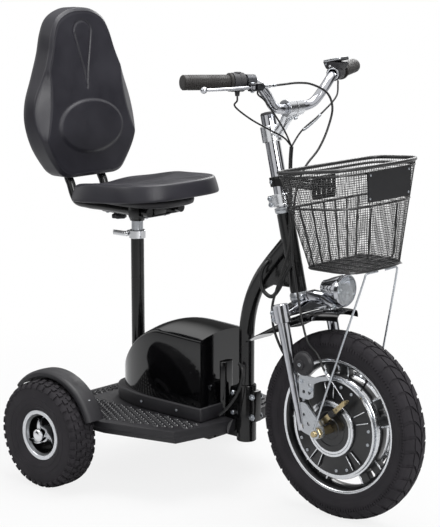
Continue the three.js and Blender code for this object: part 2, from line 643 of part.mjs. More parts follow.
function backTube(side, radius, extra) {
  const y = side * seatRail.spacing;
  const foot = back.forward + back.tubeBend / 2;
  const lean = (z) => back.forward - (back.lean * (z - back.bottom)) / backrestHeight;
  const top = back.bottom + back.tubeTop + extra;
  return pipe([
    v3(seatRail.front, y, railAxis), v3(foot + 2 * back.tubeBend, y, railAxis), v3(foot + back.tubeBend, y, railAxis),
    v3(foot + back.tubeBend / 8, y, railAxis + back.tubeBend / 8), v3(foot - back.tubeBend / 3, y, railAxis + back.tubeBend),
    v3(lean(back.bottom), y, back.bottom), v3(lean(back.bottom + back.tubeTop / 2), y, back.bottom + back.tubeTop / 2), v3(lean(top), y, top),
  ], radius, 14, 10);
}

function backTie(radius) {
  const z = back.bottom + back.tubeTop - 2 * seatRail.radius;
  const x = back.forward - (back.lean * (z - back.bottom)) / backrestHeight;
  return rodY(radius, -seatRail.spacing, seatRail.spacing, x, z, 8);
}
const backFrame = join(backTube(-1, seatRail.radius, 0), backTube(1, seatRail.radius, 0), backTie(seatRail.radius / 2));
const backPocket = join(backTube(-1, seatRail.radius + 3 * gap, overrun), backTube(1, seatRail.radius + 3 * gap, overrun),
  backTie(seatRail.radius / 2 + 3 * gap));
piece(post, 'backrest_frame', backFrame, blackPaint());
piece(post, 'backrest_pad', cut(backrestPad(), backPocket), foamSkin());

// Star knob under the bracket that clamps the backrest rails
const knob = { radius: 17, height: 11, lobes: 6, stem: 5, stemLength: 9, back: 62 };

function starKnob() {
  const outline = new THREE.Shape();
  const points = knob.lobes * 4;
  for (let i = 0; i < points; i += 1) {
    const a = (2 * Math.PI * i) / points;
    const r = knob.radius * (1 + 0.1 * Math.cos(knob.lobes * a));
    if (i === 0) outline.moveTo(r, 0);
    else outline.lineTo(r * Math.cos(a), r * Math.sin(a));
  }
  const top = bracketPlate.low - gap;
  return join(plateXY(outline, knob.height, top - knob.stemLength - knob.height),
    rodZ(knob.stem, top - knob.stemLength - overrun, top, 0, 0, 10));
}
const knobMesh = piece(post, 'backrest_knob', starKnob(), blackPlastic());
knobMesh.position.set(-knob.back, 0, 0);

// Fork: cast crown with steerer and two clamp collars, tapered blades and dropouts
const crown = { legY: 84, legX: 12, collarRadius: 18, collarLow: -38, collarHigh: 4, plateLow: -26, archHalf: 22 };
const blade = { topRadius: 13.5, footRadius: 8.5, foot: -forkLength + 8 };
const dropout = { thickness: 5, eye: 15, top: -forkLength + 73, tab: 9 };
const frontAxle = { radius: 7, shoulder: 10, shoulderHalf: 78, length: 216, nut: 12, nutDepth: 10 };

function forkCrown() {
  const collars = [-1, 1].map((side) => rodZ(crown.collarRadius, crown.collarLow, crown.collarHigh, crown.legX, side * crown.legY));
  const arch = new THREE.Shape();
  arch.moveTo(-crown.legY, crown.plateLow);
  arch.lineTo(-crown.legY, crown.plateLow + crown.archHalf / 2);
  arch.quadraticCurveTo(-crown.legY / 2, 0, -crown.archHalf, 0);
  arch.lineTo(crown.archHalf, 0);
  arch.quadraticCurveTo(crown.legY / 2, 0, crown.legY, crown.plateLow + crown.archHalf / 2);
  arch.lineTo(crown.legY, crown.plateLow);
  const bridge = new THREE.ExtrudeGeometry(arch, { depth: 2 * crown.archHalf, bevelEnabled: false, curveSegments: 5 });
  bridge.rotateX(Math.PI / 2).rotateZ(Math.PI / 2).translate(-crown.archHalf + crown.legX / 2, 0, 0);
  const steerer = rodZ(steererRadius, crown.plateLow, headTop + columnLength / 3);
  const boss = rodZ(cup.radius, crown.plateLow, gap * 9);
  const bores = [-1, 1].map((side) => rodZ(boreFor(blade.topRadius), crown.collarLow - overrun, crown.collarHigh - crown.legX / 2,
    crown.legX, side * crown.legY));
  return cut(join(bridge, ...collars, steerer, boss), ...bores);
}
piece(steering, 'fork_crown', forkCrown(), chrome());

function forkBlade(side) {
  const y = side * crown.legY;
  const tube = rod(v3(crown.legX, y, blade.foot), v3(crown.legX, y, crown.collarHigh - crown.legX / 2 - gap),
    blade.footRadius, 16, blade.topRadius);
  const shape = new THREE.Shape([
    v2(crown.legX, dropout.top), v2(crown.legX + 3 * dropout.tab, dropout.top),
    v2(forkOffset + dropout.eye * 0.6, dropout.eye * 1.2 - forkLength), v2(forkOffset + dropout.eye, -forkLength),
    v2(forkOffset + dropout.eye * 0.6, -forkLength - dropout.eye * 0.8), v2(forkOffset - dropout.eye, -forkLength - dropout.eye),
    v2(crown.legX - dropout.tab / 2, dropout.tab - forkLength),
  ]);
  const slot = rodY(frontAxle.radius + gap, y - dropout.eye, y + dropout.eye, forkOffset, -forkLength);
  const lightening = rodY(dropout.tab / 2, y - dropout.eye, y + dropout.eye, (forkOffset + crown.legX) / 2, -forkLength + dropout.eye * 1.4, 8);
  return cut(join(tube, plateXZ(shape, dropout.thickness, y)), slot, lightening);
}
for (const [name, side] of [['right', -1], ['left', 1]]) {
  piece(steering, `fork_blade_${name}`, forkBlade(side), chrome());
}

// Front wheel: tyre, cast rim with five pairs of spokes round a hub motor, and two motor covers
const axle = subGroup(upright, wheelbase, 0, frontAxleHeight);
const rim = { flangeShare: 0.708, halfWidth: 24, lip: 2.5, beadDrop: 6, well: 10, wall: 4, hub: 112, hubWall: 8, hubHalf: 30, spokeHalf: 8 };
const rimRadius = frontTyreRadius * rim.flangeShare;
const rimWell = rimRadius - rim.well;
const spoke = { pairs: 5, windowDegrees: 40, ovalDegrees: 14.5, firstDegrees: 24 };

function frontTyre() {
  const half = frontTyreWidth / 2;
  const crownRadius = frontTyreRadius;
  const bead = rimRadius - rim.beadDrop + gap;
  const height = frontTyreRadius - rimRadius;
  const side = [
    [bead, rim.halfWidth - 2 * rim.lip - gap], [rimRadius + gap, rim.halfWidth - gap], [rimRadius + height * 0.14, half * 0.82],
    [rimRadius + height * 0.5, half], [rimRadius + height * 0.82, half * 0.86], [crownRadius - rim.lip, half * 0.5], [crownRadius, half * 0.28],
  ];
  return turned([...side.map(([r, y]) => [r, -y]), ...side.reverse()]);
}
piece(axle, 'front_tyre', frontTyre(), rubber());

// One spoke between two angles, its ends sunk into the hub and the barrel
function rimSpoke(from, to) {
  const low = rim.hub - rim.hubWall / 2;
  const high = rimWell - rim.wall / 2;
  const corner = (radius, angle) => v2(radius * Math.cos(angle), radius * Math.sin(angle));
  return new THREE.Shape([corner(low, from), corner(high, from), corner(high, to), corner(low, to)]);
}

function frontRim() {
  const r = rimRadius;
  const w = rim.halfWidth;
  const barrel = turned([
    [r, -w], [r - rim.beadDrop, -w + 2 * rim.lip], [rimWell, -w + rim.well], [rimWell, w - rim.well],
    [r - rim.beadDrop, w - 2 * rim.lip], [r, w], [r - rim.wall, w],
    [rimWell - rim.wall, w - rim.well - rim.lip], [rimWell - rim.wall, -w + rim.well + rim.lip], [r - rim.wall, -w],
  ]);
  const hub = turned(ring(rim.hub - rim.hubWall, rim.hub, -rim.hubHalf, rim.hubHalf));
  const spokes = [];
  for (let i = 0; i < spoke.pairs; i += 1) {
    const pairAngle = radians(spoke.firstDegrees) + (2 * Math.PI * i) / spoke.pairs;
    const far = Math.PI / spoke.pairs - radians(spoke.windowDegrees) / 2;
    const near = radians(spoke.ovalDegrees) / 2;
    for (const side of [-1, 1]) {
      const [from, to] = [pairAngle + side * near, pairAngle + side * far].sort((a, b) => a - b);
      spokes.push(plateXZ(rimSpoke(from, to), 2 * rim.spokeHalf, 0));
    }
  }
  return join(barrel, hub, ...spokes);
}
piece(axle, 'front_rim', frontRim(), blackPaint());

const motorCover = { thickness: 4, drumOuter: 64, drumInner: 58, drumDepth: 17, boss: 26, bossDepth: 12, rib: 3, ribHeight: 5, ribs: 10, segments: 24 };

function motorCoverDisc(side) {
  const start = rim.hubHalf + gap;
  const end = start + motorCover.thickness;
  const edge = rim.hub - 2 * gap;
  const bore = frontAxle.shoulder + gap;
  const profile = side < 0
    ? [[bore, start], [edge, start], [edge, end], [motorCover.drumOuter, end], [motorCover.drumOuter, start + motorCover.drumDepth],
      [motorCover.drumInner, start + motorCover.drumDepth], [motorCover.drumInner, end], [bore, end]]
    : [[bore, start], [edge, start], [edge, end], [motorCover.boss, end], [motorCover.boss, start + motorCover.bossDepth],
      [bore, start + motorCover.bossDepth]];
  const inner = side < 0 ? motorCover.drumOuter : motorCover.boss;
  const length = edge - inner - 2 * motorCover.thickness;
  const ribs = [];
  for (let i = 0; i < motorCover.ribs; i += 1) {
    const pair = Math.floor(i / 2);
    const angle = (4 * Math.PI * pair) / motorCover.ribs + (i % 2 ? 1 : -1) * radians(spoke.ovalDegrees / 2);
    const rib = box(length + motorCover.thickness, motorCover.ribHeight, motorCover.rib,
      inner + motorCover.thickness / 2 + length / 2, end + motorCover.ribHeight / 2 - gap, 0);
    ribs.push(rib.rotateY(-angle - radians(spoke.firstDegrees)));
  }
  const solid = join(turned(profile, motorCover.segments), ...ribs);
  return side < 0 ? asSolid(asGeometry(solid).scale(1, -1, 1)) : solid;
}
piece(axle, 'motor_cover_right', motorCoverDisc(-1), blackPaint());
piece(axle, 'motor_cover_left', motorCoverDisc(1), blackPaint());

// Fixed inside the wheel: axle, stator and brake plate
const stator = { radius: 94, half: 24, bore: 10.3, hollow: 40, hollowHalf: 8 };
const brake = { plate: 57, plateLow: 42.5, plateHigh: 46.5, camUp: 18, camBack: 6, cam: 5, camLength: 24 };
const statorProfile = [[stator.bore, -stator.half], [stator.hollow, -stator.hollowHalf], [stator.radius, -stator.half],
  [stator.radius, stator.half], [stator.hollow, stator.hollowHalf], [stator.bore, stator.half]];

function frontAxleBar() {
  const half = frontAxle.length / 2;
  const parts = [rodY(frontAxle.radius, -half, half, 0, 0, 16),
    rodY(frontAxle.shoulder, -frontAxle.shoulderHalf, frontAxle.shoulderHalf, 0, 0, 16)];
  for (const side of [-1, 1]) {
    const start = crown.legY + dropout.thickness / 2 + gap;
    parts.push(rodY(frontAxle.nut, side * start, side * (start + frontAxle.nutDepth), 0, 0, 6));
  }
  return join(...parts);
}
piece(axle, 'front_axle', frontAxleBar(), zinc());
piece(axle, 'motor_stator', turned(statorProfile, 18), silver());

const camX = -brake.camBack;
const camZ = brake.camUp;
function brakePlate() {
  const disc = turned(ring(frontAxle.shoulder + gap, brake.plate, -brake.plateHigh, -brake.plateLow), 24);
  return cut(disc, rodY(brake.cam + gap, -2 * brake.plateHigh, 0, camX, camZ, 12));
}
piece(axle, 'brake_plate', brakePlate(), blackPaint());

// Brake arm on the cam spindle, worked by the cable
const arm = { length: 86, width: 14, thickness: 4, y: 68, liftDegrees: 42, clevis: 9 };
const armGroup = subGroup(axle, camX, 0, camZ);

function brakeArm() {
  const strap = new THREE.Shape();
  strap.moveTo(0, -arm.width / 2);
  strap.lineTo(arm.length, -arm.width / 3);
  strap.absarc(arm.length, 0, arm.width / 3, -Math.PI / 2, Math.PI / 2, false);
  strap.lineTo(0, arm.width / 2);
  strap.absarc(0, 0, arm.width / 2, Math.PI / 2, (3 * Math.PI) / 2, false);
  const blank = plateXZ(strap, arm.thickness, -arm.y, 5).rotateY(-radians(arm.liftDegrees));
  const spindle = rodY(brake.cam, -arm.y - arm.thickness, -brake.plateLow - gap, 0, 0, 12);
  const tip = v3(arm.length, 0, 0).applyAxisAngle(yAxis, radians(-arm.liftDegrees));
  return join(blank, spindle, rodY(arm.clevis / 2, -arm.y - arm.clevis, -arm.y + arm.clevis, tip.x, tip.z, 8));
}
piece(armGroup, 'brake_arm', brakeArm(), zinc());

// Front mudguard: pressed sheet round the top and back of the tyre, hung under the crown
const guard = { wall: 3, half: 45, drop: 20, startDegrees: 88, endDegrees: 146, steps: 10, flare: 26 };

// The crown's lower front edge as seen from the axle sets the mudguard's radius
const crownNose = onSteering(crown.archHalf + crown.legX / 2, 0, crown.plateLow);
const guardRadius = Math.hypot(crownNose.x - wheelbase, crownNose.z - frontAxleHeight) - guard.wall / 2 - 3 * gap;

function frontGuard() {
  const arc = [[-1, -guard.drop], [-0.86, -guard.drop / 4], [-0.5, -guard.wall / 2], [0.5, -guard.wall / 2], [0.86, -guard.drop / 4], [1, -guard.drop]];
  const section = [
    ...arc.map(([share, height]) => v2(share * guard.half, height + guard.wall)),
    ...arc.map(([share, height]) => v2(share * (guard.half - guard.wall), height - guard.wall / 4)).reverse(),
  ];
  const outlines = [];
  for (let i = 0; i <= guard.steps; i += 1) {
    const along = i / guard.steps;
    const a = radians(guard.startDegrees + (guard.endDegrees - guard.startDegrees) * along);
    const flare = guard.flare * along ** 5;
    const taperShare = 1 - 0.35 * smooth((along - 0.75) / 0.25) - 0.15 * smooth((0.2 - along) / 0.2);
    outlines.push(section.map((p) => v3((guardRadius + flare + p.y) * Math.cos(a), p.x * taperShare,
      (guardRadius + flare + p.y) * Math.sin(a))));
  }
  return skin(outlines, section);
}
piece(axle, 'front_mudguard', frontGuard(), blackGloss());

// Steering column over the steerer, closed at its top, with its lower clamp and the stem of the bar
const column = { radius: 17, bore: 13, top: 424, clampLow: 216, clampHigh: 244, clampRadius: 23, lug: 34, lugHalf: 11, slot: 3, capHeight: 6 };
const stem = { low: 362, high: 398, radius: 22.5, armRadius: 13, reach: 74, rise: 428, barClamp: 19, barHalf: 25 };
const barRadius = 11;
const barSteps = 24;
const columnLow = headTop + cupHeight + gap;

piece(steering, 'steering_column', cut(rodZ(column.radius, columnLow, column.top + column.capHeight),
  rodZ(column.bore, columnLow - overrun, column.top)), chrome());
function columnClamp() {
  const middle = (column.clampLow + column.clampHigh) / 2;
  const height = column.clampHigh - column.clampLow;
  const body = rodZ(column.clampRadius, column.clampLow, column.clampHigh);
  const lugs = box(column.lug, 2 * column.lugHalf, height, -column.lug / 2, 0, middle);
  const slot = box(column.lug, column.slot, 2 * height, -column.lug, 0, middle);
  return cut(join(body, lugs), slot, rodZ(column.radius + gap, column.clampLow - overrun, column.clampHigh + overrun));
}
piece(steering, 'column_clamp', columnClamp(), silver());

const stemEye = rodY(stem.barClamp, -stem.barHalf, stem.barHalf, stem.reach, stem.rise);
function stemBody() {
  const ringHeight = (stem.low + stem.high) / 2;
  const sleeve = rodZ(stem.radius, stem.low, stem.high);
  const neck = rod(v3(column.radius, 0, ringHeight), v3(stem.reach, 0, stem.rise), stem.armRadius);
  const bore = rodZ(column.radius + gap, stem.low - overrun, stem.high + overrun);
  return cut(join(sleeve, neck, stemEye), bore);
}

// Handlebar: straight in the clamp, up and out, then swept back to the grips
const barSweep = 57;
const barHalf = handlebarWidth / 2;
const barCentre = onSteering(stem.reach, 0, stem.rise);
const barShares = [
  [0, 0, 0], [0.154, 0, 0], [0.24, 0.11, 0.07], [0.342, 0.51, 0.16], [0.43, 0.82, 0.14], [0.514, 0.93, 0], [0.634, 0.9473, -0.2469], [1, 1, -1],
];
const barPoint = ([out, up, ahead], side) => v3(barCentre.x + barSweep * ahead, side * barHalf * out,
  barCentre.z + handlebarRise * up);
const barRoute = [...barShares.slice(1).reverse().map((p) => barPoint(p, -1)), ...barShares.map((p) => barPoint(p, 1))];
piece(upright, 'handlebar', pipe(barRoute, barRadius, barSteps, 8), chrome());

// Places along the straight end of the bar, by distance out from the middle
const endLine = [barPoint(barShares[5], 1), barPoint(barShares[7], 1)];
function barAt(distance, side) {
  const share = (distance - endLine[0].y) / (endLine[1].y - endLine[0].y);
  const p = endLine[0].clone().lerp(endLine[1], share);
  return v3(p.x, side * p.y, p.z);
}
const aroundBar = (radius, from, to, side, sides = roundSegments, endRadius = radius) => rod(barAt(from, side), barAt(to, side), radius, sides, endRadius);

const barVoidRoute = [barAt(barHalf + 2 * gap, -1), ...barRoute.slice(1, -1), barAt(barHalf + 2 * gap, 1)];
const barVoid = asSolid(pipe(barVoidRoute, barRadius + 1.5 * gap, barSteps, 8));

// The stem is shaped in the raked frame and bored for the bar in the upright one
piece(upright, 'stem', cut(asSolid(asGeometry(stemBody()).rotateY(-rake)
  .translate(headX, 0, headZ)), barVoid), silver());

const grip = { radius: 16.5, inner: 187, outer: 295, lip: 20, lipDepth: 8, leftInner: 189 };
function handGrip(side, inner, bore) {
  const lip = aroundBar(grip.lip, inner, inner + grip.lipDepth, side);
  return cut(join(aroundBar(grip.radius, inner, grip.outer, side), lip), bore);
}
piece(upright, 'grip_left', handGrip(1, grip.leftInner, barVoid), rubber());

const throttle = { inner: 160, radius: 20.5, boss: 12, bossDrop: 30 };
const twistBore = aroundBar(boreFor(barRadius), throttle.inner, barHalf + 2 * gap, -1);
piece(upright, 'throttle_grip', handGrip(-1, grip.inner, twistBore), rubber());
function throttleHousing() {
  const body = aroundBar(throttle.radius, throttle.inner, grip.inner - gap, -1);
  const at = barAt((throttle.inner + grip.inner) / 2, -1);
  const cableBoss = rod(at, v3(at.x, at.y, at.z - throttle.bossDrop), throttle.boss / 2, 10);
  return cut(join(body, cableBoss), barVoid);
}
piece(upright, 'throttle_housing', throttleHousing(), blackPlastic());

// Brake lever mount with its cable adjuster, and the ball-ended lever between two cheeks
const brakeMount = { inner: 136, outer: 156, radius: 17, pivotAhead: 36, pivotOut: 168, pivotDrop: 9, width: 15, height: 16, adjuster: 4.5, adjusterLength: 26, pin: 3 };
const leverPart = { eye: 7, height: 9, width: 9, ball: 7.5, ballOut: 285, ballAhead: 50, bow: 7 };
const bracketHub = barAt((brakeMount.inner + brakeMount.outer) / 2, -1);
const leverPivot = barAt(brakeMount.pivotOut, -1).add(v3(brakeMount.pivotAhead, 0, -brakeMount.pivotDrop));
const leverBall = barAt(leverPart.ballOut, -1).add(v3(leverPart.ballAhead, 0, -brakeMount.pivotDrop / 2));
const adjusterEnd = v3(leverPivot.x + brakeMount.adjuster, -brakeMount.inner + brakeMount.adjuster, leverPivot.z);

function leverMount() {
  const band = aroundBar(brakeMount.radius, brakeMount.inner, brakeMount.outer, -1);
  const blockY = (leverPivot.y - brakeMount.inner) / 2;
  const blockLength = Math.abs(leverPivot.y) - brakeMount.inner + brakeMount.width / 2;
  const block = box(brakeMount.width, blockLength, brakeMount.height, leverPivot.x, blockY, leverPivot.z);
  const bridge = box(leverPivot.x - bracketHub.x, brakeMount.outer - brakeMount.inner, brakeMount.height * 0.75,
    (leverPivot.x + bracketHub.x) / 2, bracketHub.y, leverPivot.z + brakeMount.pivotDrop / 2);
  const adjuster = rodY(brakeMount.adjuster, adjusterEnd.y - overrun, adjusterEnd.y + brakeMount.adjusterLength,
    adjusterEnd.x, adjusterEnd.z, 10);
  const mouth = box(2 * brakeMount.width, blockLength, leverPart.height + 2 * gap,
    leverPivot.x, leverPivot.y - leverPart.eye + overrun, leverPivot.z);
  const pin = rodZ(brakeMount.pin, leverPivot.z - brakeMount.height / 2, leverPivot.z + brakeMount.height / 2,
    leverPivot.x, leverPivot.y, 10);
  return join(cut(join(band, block, bridge, adjuster), mouth, barVoid), pin);
}
piece(upright, 'brake_lever_mount', leverMount(), silver());

function brakeLever() {
  const out = leverPivot.distanceTo(leverBall);
  const blank = new THREE.Shape();
  blank.moveTo(0, -leverPart.width / 2);
  blank.quadraticCurveTo(out / 3, leverPart.bow - leverPart.width / 2, out, -leverPart.width / 3);
  blank.lineTo(out, leverPart.width / 3);
  blank.quadraticCurveTo(out / 3, leverPart.width / 2 + leverPart.bow, 0, leverPart.width / 2);
  const strip = plateXY(blank, leverPart.height, -leverPart.height / 2, 8);
  const eye = rodZ(leverPart.eye, -leverPart.height / 2, leverPart.height / 2);
  const ball = new THREE.SphereGeometry(leverPart.ball, 8, 6).translate(out, 0, 0);
  const whole = cut(join(strip, eye, ball), rodZ(brakeMount.pin + gap, -leverPart.height, leverPart.height, 0, 0, 10));
  const geometry = asGeometry(whole);
  const direction = leverBall.clone().sub(leverPivot).normalize();
  const tilt = new THREE.Quaternion().setFromUnitVectors(xAxis, v3(direction.x, direction.y, 0).normalize());
  return geometry.applyQuaternion(tilt);
}
const leverMesh = piece(upright, 'brake_lever', brakeLever(), chrome());
leverMesh.position.copy(leverPivot);

// Display unit on the left of the bar, with the horn button on the side that faces the rider
const display = { inner: 140, depth: 38, length: 50, ringRadius: 17, top: 33, topThickness: 8, tiltDegrees: 12, neck: 30 };
const button = { radius: 6, length: 7, drop: 8, well: 0.5, engagement: 1 };

function displayUnit() {
  const at = barAt(display.inner + display.depth / 2, 1);
  const wedge = new THREE.Shape([
    v2(-display.neck / 2, 0), v2(display.neck / 2, 0), v2(display.length / 2, display.top - display.topThickness),
    v2(-display.length / 2, display.top - display.topThickness),
  ]);
  const body = plateXZ(wedge, display.depth, at.y).translate(at.x, 0, at.z);
  const lid = box(display.length, display.depth, display.topThickness, 0, 0, 0);
  lid.rotateY(-radians(display.tiltDegrees)).translate(at.x, at.y, at.z + display.top - display.topThickness / 2);
  const band = aroundBar(display.ringRadius, display.inner, display.inner + display.depth, 1);
  const housing = rod(v3(at.x - display.ringRadius - button.well, at.y, at.z - button.drop / 2),
    v3(at.x, at.y, at.z - button.drop / 2), button.radius + overrun, 12);
  const well = rod(v3(at.x - 2 * display.ringRadius, at.y, at.z - button.drop / 2),
    v3(at.x - barRadius - overrun / 2, at.y, at.z - button.drop / 2), button.radius + gap, 12);
  return cut(join(body, lid, band, housing), barVoid, well);
}
piece(upright, 'display_unit', displayUnit(), blackPlastic());
const buttonAt = barAt(display.inner + display.depth / 2, 1);
const buttonMesh = piece(upright, 'horn_button', rod(v3(-button.length, 0, 0), v3(0, 0, 0), button.radius, 12), silver());
buttonMesh.position.set(buttonAt.x - display.ringRadius + button.engagement, buttonAt.y, buttonAt.z - button.drop / 2);

// Headlight: turned bowl and lens on a bent channel from the headset
const lamp = { x: 588, z: 523, rear: 15, front: 34, length: 62, wall: 2.5, lens: 6, rim: 3 };

function alongX(profile, segments = roundSegments) {
  return turned(profile, segments).rotateZ(-Math.PI / 2).translate(lamp.x, 0, lamp.z);
}
const bowl = [[0, 0], [lamp.rear, 0], [lamp.rear + lamp.wall, lamp.length * 0.2], [lamp.front * 0.8, lamp.length * 0.6],
  [lamp.front, lamp.length * 0.92], [lamp.front, lamp.length], [lamp.front - lamp.rim, lamp.length],
  [lamp.front - lamp.rim, lamp.length - lamp.lens], [lamp.front * 0.75 - lamp.wall, lamp.length * 0.6],
  [lamp.rear, lamp.length * 0.25], [0, lamp.length * 0.2]];
piece(upright, 'headlight_shell', alongX(bowl), chrome());
const lensRadius = lamp.front - lamp.rim - gap;
piece(upright, 'headlight_lens', alongX([[0, lamp.length - lamp.lens + gap], [lensRadius, lamp.length - lamp.lens + gap],
  [lensRadius, lamp.length], [lensRadius / 2, lamp.length + lamp.rim * 0.7], [0, lamp.length + lamp.rim]]), lensClear());

const crownTop = onSteering(crown.archHalf + crown.legX / 2, 0, 0);
const bracket = { half: 16, wall: 2.5, rear: crownTop.x + gap, front: 654, tailZ: crownTop.z + gap, noseZ: 481, noseDrop: 5 };
function lampBracket() {
  const under = (share, radius) => v2(lamp.x + share * lamp.length, lamp.z - radius - gap);
  const shape = new THREE.Shape([
    v2(bracket.rear, bracket.tailZ), v2(bracket.rear, lamp.z - lamp.rear - gap), under(0, lamp.rear),
    under(0.2, lamp.rear + lamp.wall), under(0.6, lamp.front * 0.8), under(0.92, lamp.front),
    v2(bracket.front, lamp.z - lamp.front - bracket.noseDrop), v2(bracket.front, bracket.noseZ),
  ]);
  const hollow = plateXZ(shape, 2 * (bracket.half - bracket.wall), 0).translate(0, 0, -bracket.wall);
  return cut(plateXZ(shape, 2 * bracket.half, 0), hollow);
}
piece(upright, 'headlight_bracket', lampBracket(), chrome());

// Horn on the right fork blade, with the plate that carries it and the stop of the brake cable
const hornPlate = { thickness: 4, x: 602, low: 284, high: 330, length: 40, tabX: 612, tabTop: 362, tabWidth: 14, stopX: 682, stopZ: 345, stopRadius: 5, stopHalf: 7, armWidth: 8 };
const horn = { x: 614, z: 367, radius: 24, depth: 14, flange: 5, core: 9, coreDepth: 19 };
const hornPlateY = crown.legY;
const stopDirection = v3(camX + wheelbase + arm.length * Math.cos(radians(arm.liftDegrees)) - hornPlate.stopX, hornPlateY - arm.y,
  camZ + frontAxleHeight + arm.length * Math.sin(radians(arm.liftDegrees)) - hornPlate.stopZ).normalize();
const stopAt = v3(hornPlate.stopX, -hornPlateY, hornPlate.stopZ);

function hornBracket() {
  const { x, low, high, length, tabX, tabTop, tabWidth, stopX, stopZ, armWidth } = hornPlate;
  const shape = new THREE.Shape([
    v2(x, low), v2(x + length * 0.6, low), v2(x + length, low + armWidth), v2(x + length, high - armWidth),
    v2(stopX, stopZ - armWidth), v2(stopX, stopZ), v2(x + length * 0.8, high),
    v2(tabX + tabWidth / 2, high + armWidth), v2(tabX + tabWidth / 2, tabTop), v2(tabX - tabWidth / 2, tabTop), v2(x - armWidth / 2, high),
  ]);
  const barrel = rod(stopAt.clone().addScaledVector(stopDirection, -hornPlate.stopHalf),
    stopAt.clone().addScaledVector(stopDirection, hornPlate.stopHalf), hornPlate.stopRadius, 10);
  const wireHole = rod(stopAt.clone().addScaledVector(stopDirection, -2 * hornPlate.stopHalf),
    stopAt.clone().addScaledVector(stopDirection, 2 * hornPlate.stopHalf), hornPlate.stopRadius / 3, 8);
  return cut(join(plateXZ(shape, hornPlate.thickness, -hornPlateY), barrel), wireHole);
}
piece(upright, 'horn_bracket', hornBracket(), silver());

const hornBack = hornPlateY + hornPlate.thickness / 2 + gap;
const hornShape = turned([[0, hornBack], [horn.radius, hornBack], [horn.radius, hornBack + horn.flange], [horn.radius - horn.flange, hornBack + horn.depth],
  [horn.core, hornBack + horn.depth], [horn.core * 0.8, hornBack + horn.coreDepth], [0, hornBack + horn.coreDepth]], 20);
piece(upright, 'horn', cut(asSolid(hornShape).mirror([0, 1, 0]).translate([horn.x, 0, horn.z])), blackPlastic());

// Basket: wire mesh walls and floor with a thicker rim, flaring outward to the top
const basket = {
  rearTop: 594, rearBottom: 626, frontTop: 762, frontBottom: 755, bottom: 587, rimDrop: 17, rearTopHalf: 178, rearBottomHalf: 105,
  frontTopHalf: 137, frontBottomHalf: 100, wire: 3, thickness: 3, rim: 4, columns: 20, frontPower: 3.4, rearPower: 8,
};

function basketLoop(share, inset) {
  const mix = (a, b) => a + (b - a) * share;
  const rear = mix(basket.rearBottom, basket.rearTop) + inset;
  const front = mix(basket.frontBottom, basket.frontTop) - inset;
  const rearHalf = mix(basket.rearBottomHalf, basket.rearTopHalf) - inset;
  const frontHalf = mix(basket.frontBottomHalf, basket.frontTopHalf) - inset;
  const length = (front - rear) / 2;
  const fine = [];
  const fineCount = 40 * basket.columns;
  for (let i = 0; i < fineCount; i += 1) {
    const angle = (2 * Math.PI * (i + 0.5)) / fineCount;
    const p = superPoint(angle, length, 1, Math.cos(angle) > 0 ? basket.frontPower : basket.rearPower);
    const along = (p.x / length + 1) / 2;
    fine.push(v3((rear + front) / 2 + p.x, p.y * (rearHalf + (frontHalf - rearHalf) * along),
      basket.bottom + share * (basketHeight - basket.rimDrop * (1 - along))));
  }
  const lengths = [0];
  for (let i = 0; i < fineCount; i += 1) lengths.push(lengths[i] + fine[i].distanceTo(fine[(i + 1) % fineCount]));
  const total = lengths[fineCount];
  const line = [];
  let at = 0;
  for (let k = 0; k < basket.columns; k += 1) {
    const target = (total * (k + 0.5)) / basket.columns;
    while (lengths[at + 1] < target) at += 1;
    const local = (target - lengths[at]) / (lengths[at + 1] - lengths[at]);
    line.push(fine[at].clone().lerp(fine[(at + 1) % fineCount], local));
  }
  return line;
}

// A net of holes between two equal grids of points, its outer and its inner face. The first line
// is closed by a disc and the bands listed in solid have no holes.
function net(outer, inner, solid) {
  const rows = outer.length - 1;
  const columns = outer[0].length;
  const positions = [];
  const index = [];
  const add = (p) => positions.push(p.x, p.y, p.z) / 3 - 1;
  const ids = [outer, inner].map((grid) => grid.map((line) => line.map(add)));
  const quad = (a, b, c, d) => index.push(a, b, c, a, c, d);
  for (let i = 0; i < rows; i += 1) {
    for (let j = 0; j < columns; j += 1) {
      const next = (j + 1) % columns;
      const frames = ids.map((lines) => [lines[i][j], lines[i][next], lines[i + 1][next], lines[i + 1][j]]);
      if (solid.includes(i)) {
        quad(...frames[0]);
        quad(...[...frames[1]].reverse());
        continue;
      }
      const holes = [outer, inner].map((grid) => {
        const corners = [grid[i][j], grid[i][next], grid[i + 1][next], grid[i + 1][j]];
        const u = basket.wire / 2 / Math.min(corners[0].distanceTo(corners[1]), corners[2].distanceTo(corners[3]));
        const w = basket.wire / 2 / corners[0].distanceTo(corners[3]);
        return [[u, w], [1 - u, w], [1 - u, 1 - w], [u, 1 - w]].map(([x, y]) => {
          const low = corners[0].clone().lerp(corners[1], x);
          return add(low.lerp(corners[3].clone().lerp(corners[2], x), y));
        });
      });
      for (let k = 0; k < 4; k += 1) {
        const n = (k + 1) % 4;
        quad(frames[0][k], frames[0][n], holes[0][n], holes[0][k]);
        quad(frames[1][n], frames[1][k], holes[1][k], holes[1][n]);
        quad(holes[0][k], holes[0][n], holes[1][n], holes[1][k]);
      }
    }
  }
  const middles = [outer, inner].map((grid) => add(grid[0].reduce((sum, p) => sum.add(p), v3()).divideScalar(columns)));
  for (let j = 0; j < columns; j += 1) {
    const next = (j + 1) % columns;
    quad(ids[0][rows][j], ids[0][rows][next], ids[1][rows][next], ids[1][rows][j]);
    index.push(middles[0], ids[0][0][next], ids[0][0][j], middles[1], ids[1][0][j], ids[1][0][next]);
  }
  const geometry = new THREE.BufferGeometry();
  geometry.setAttribute('position', new THREE.Float32BufferAttribute(positions, 3));
  geometry.setIndex(index);
  return geometry;
}

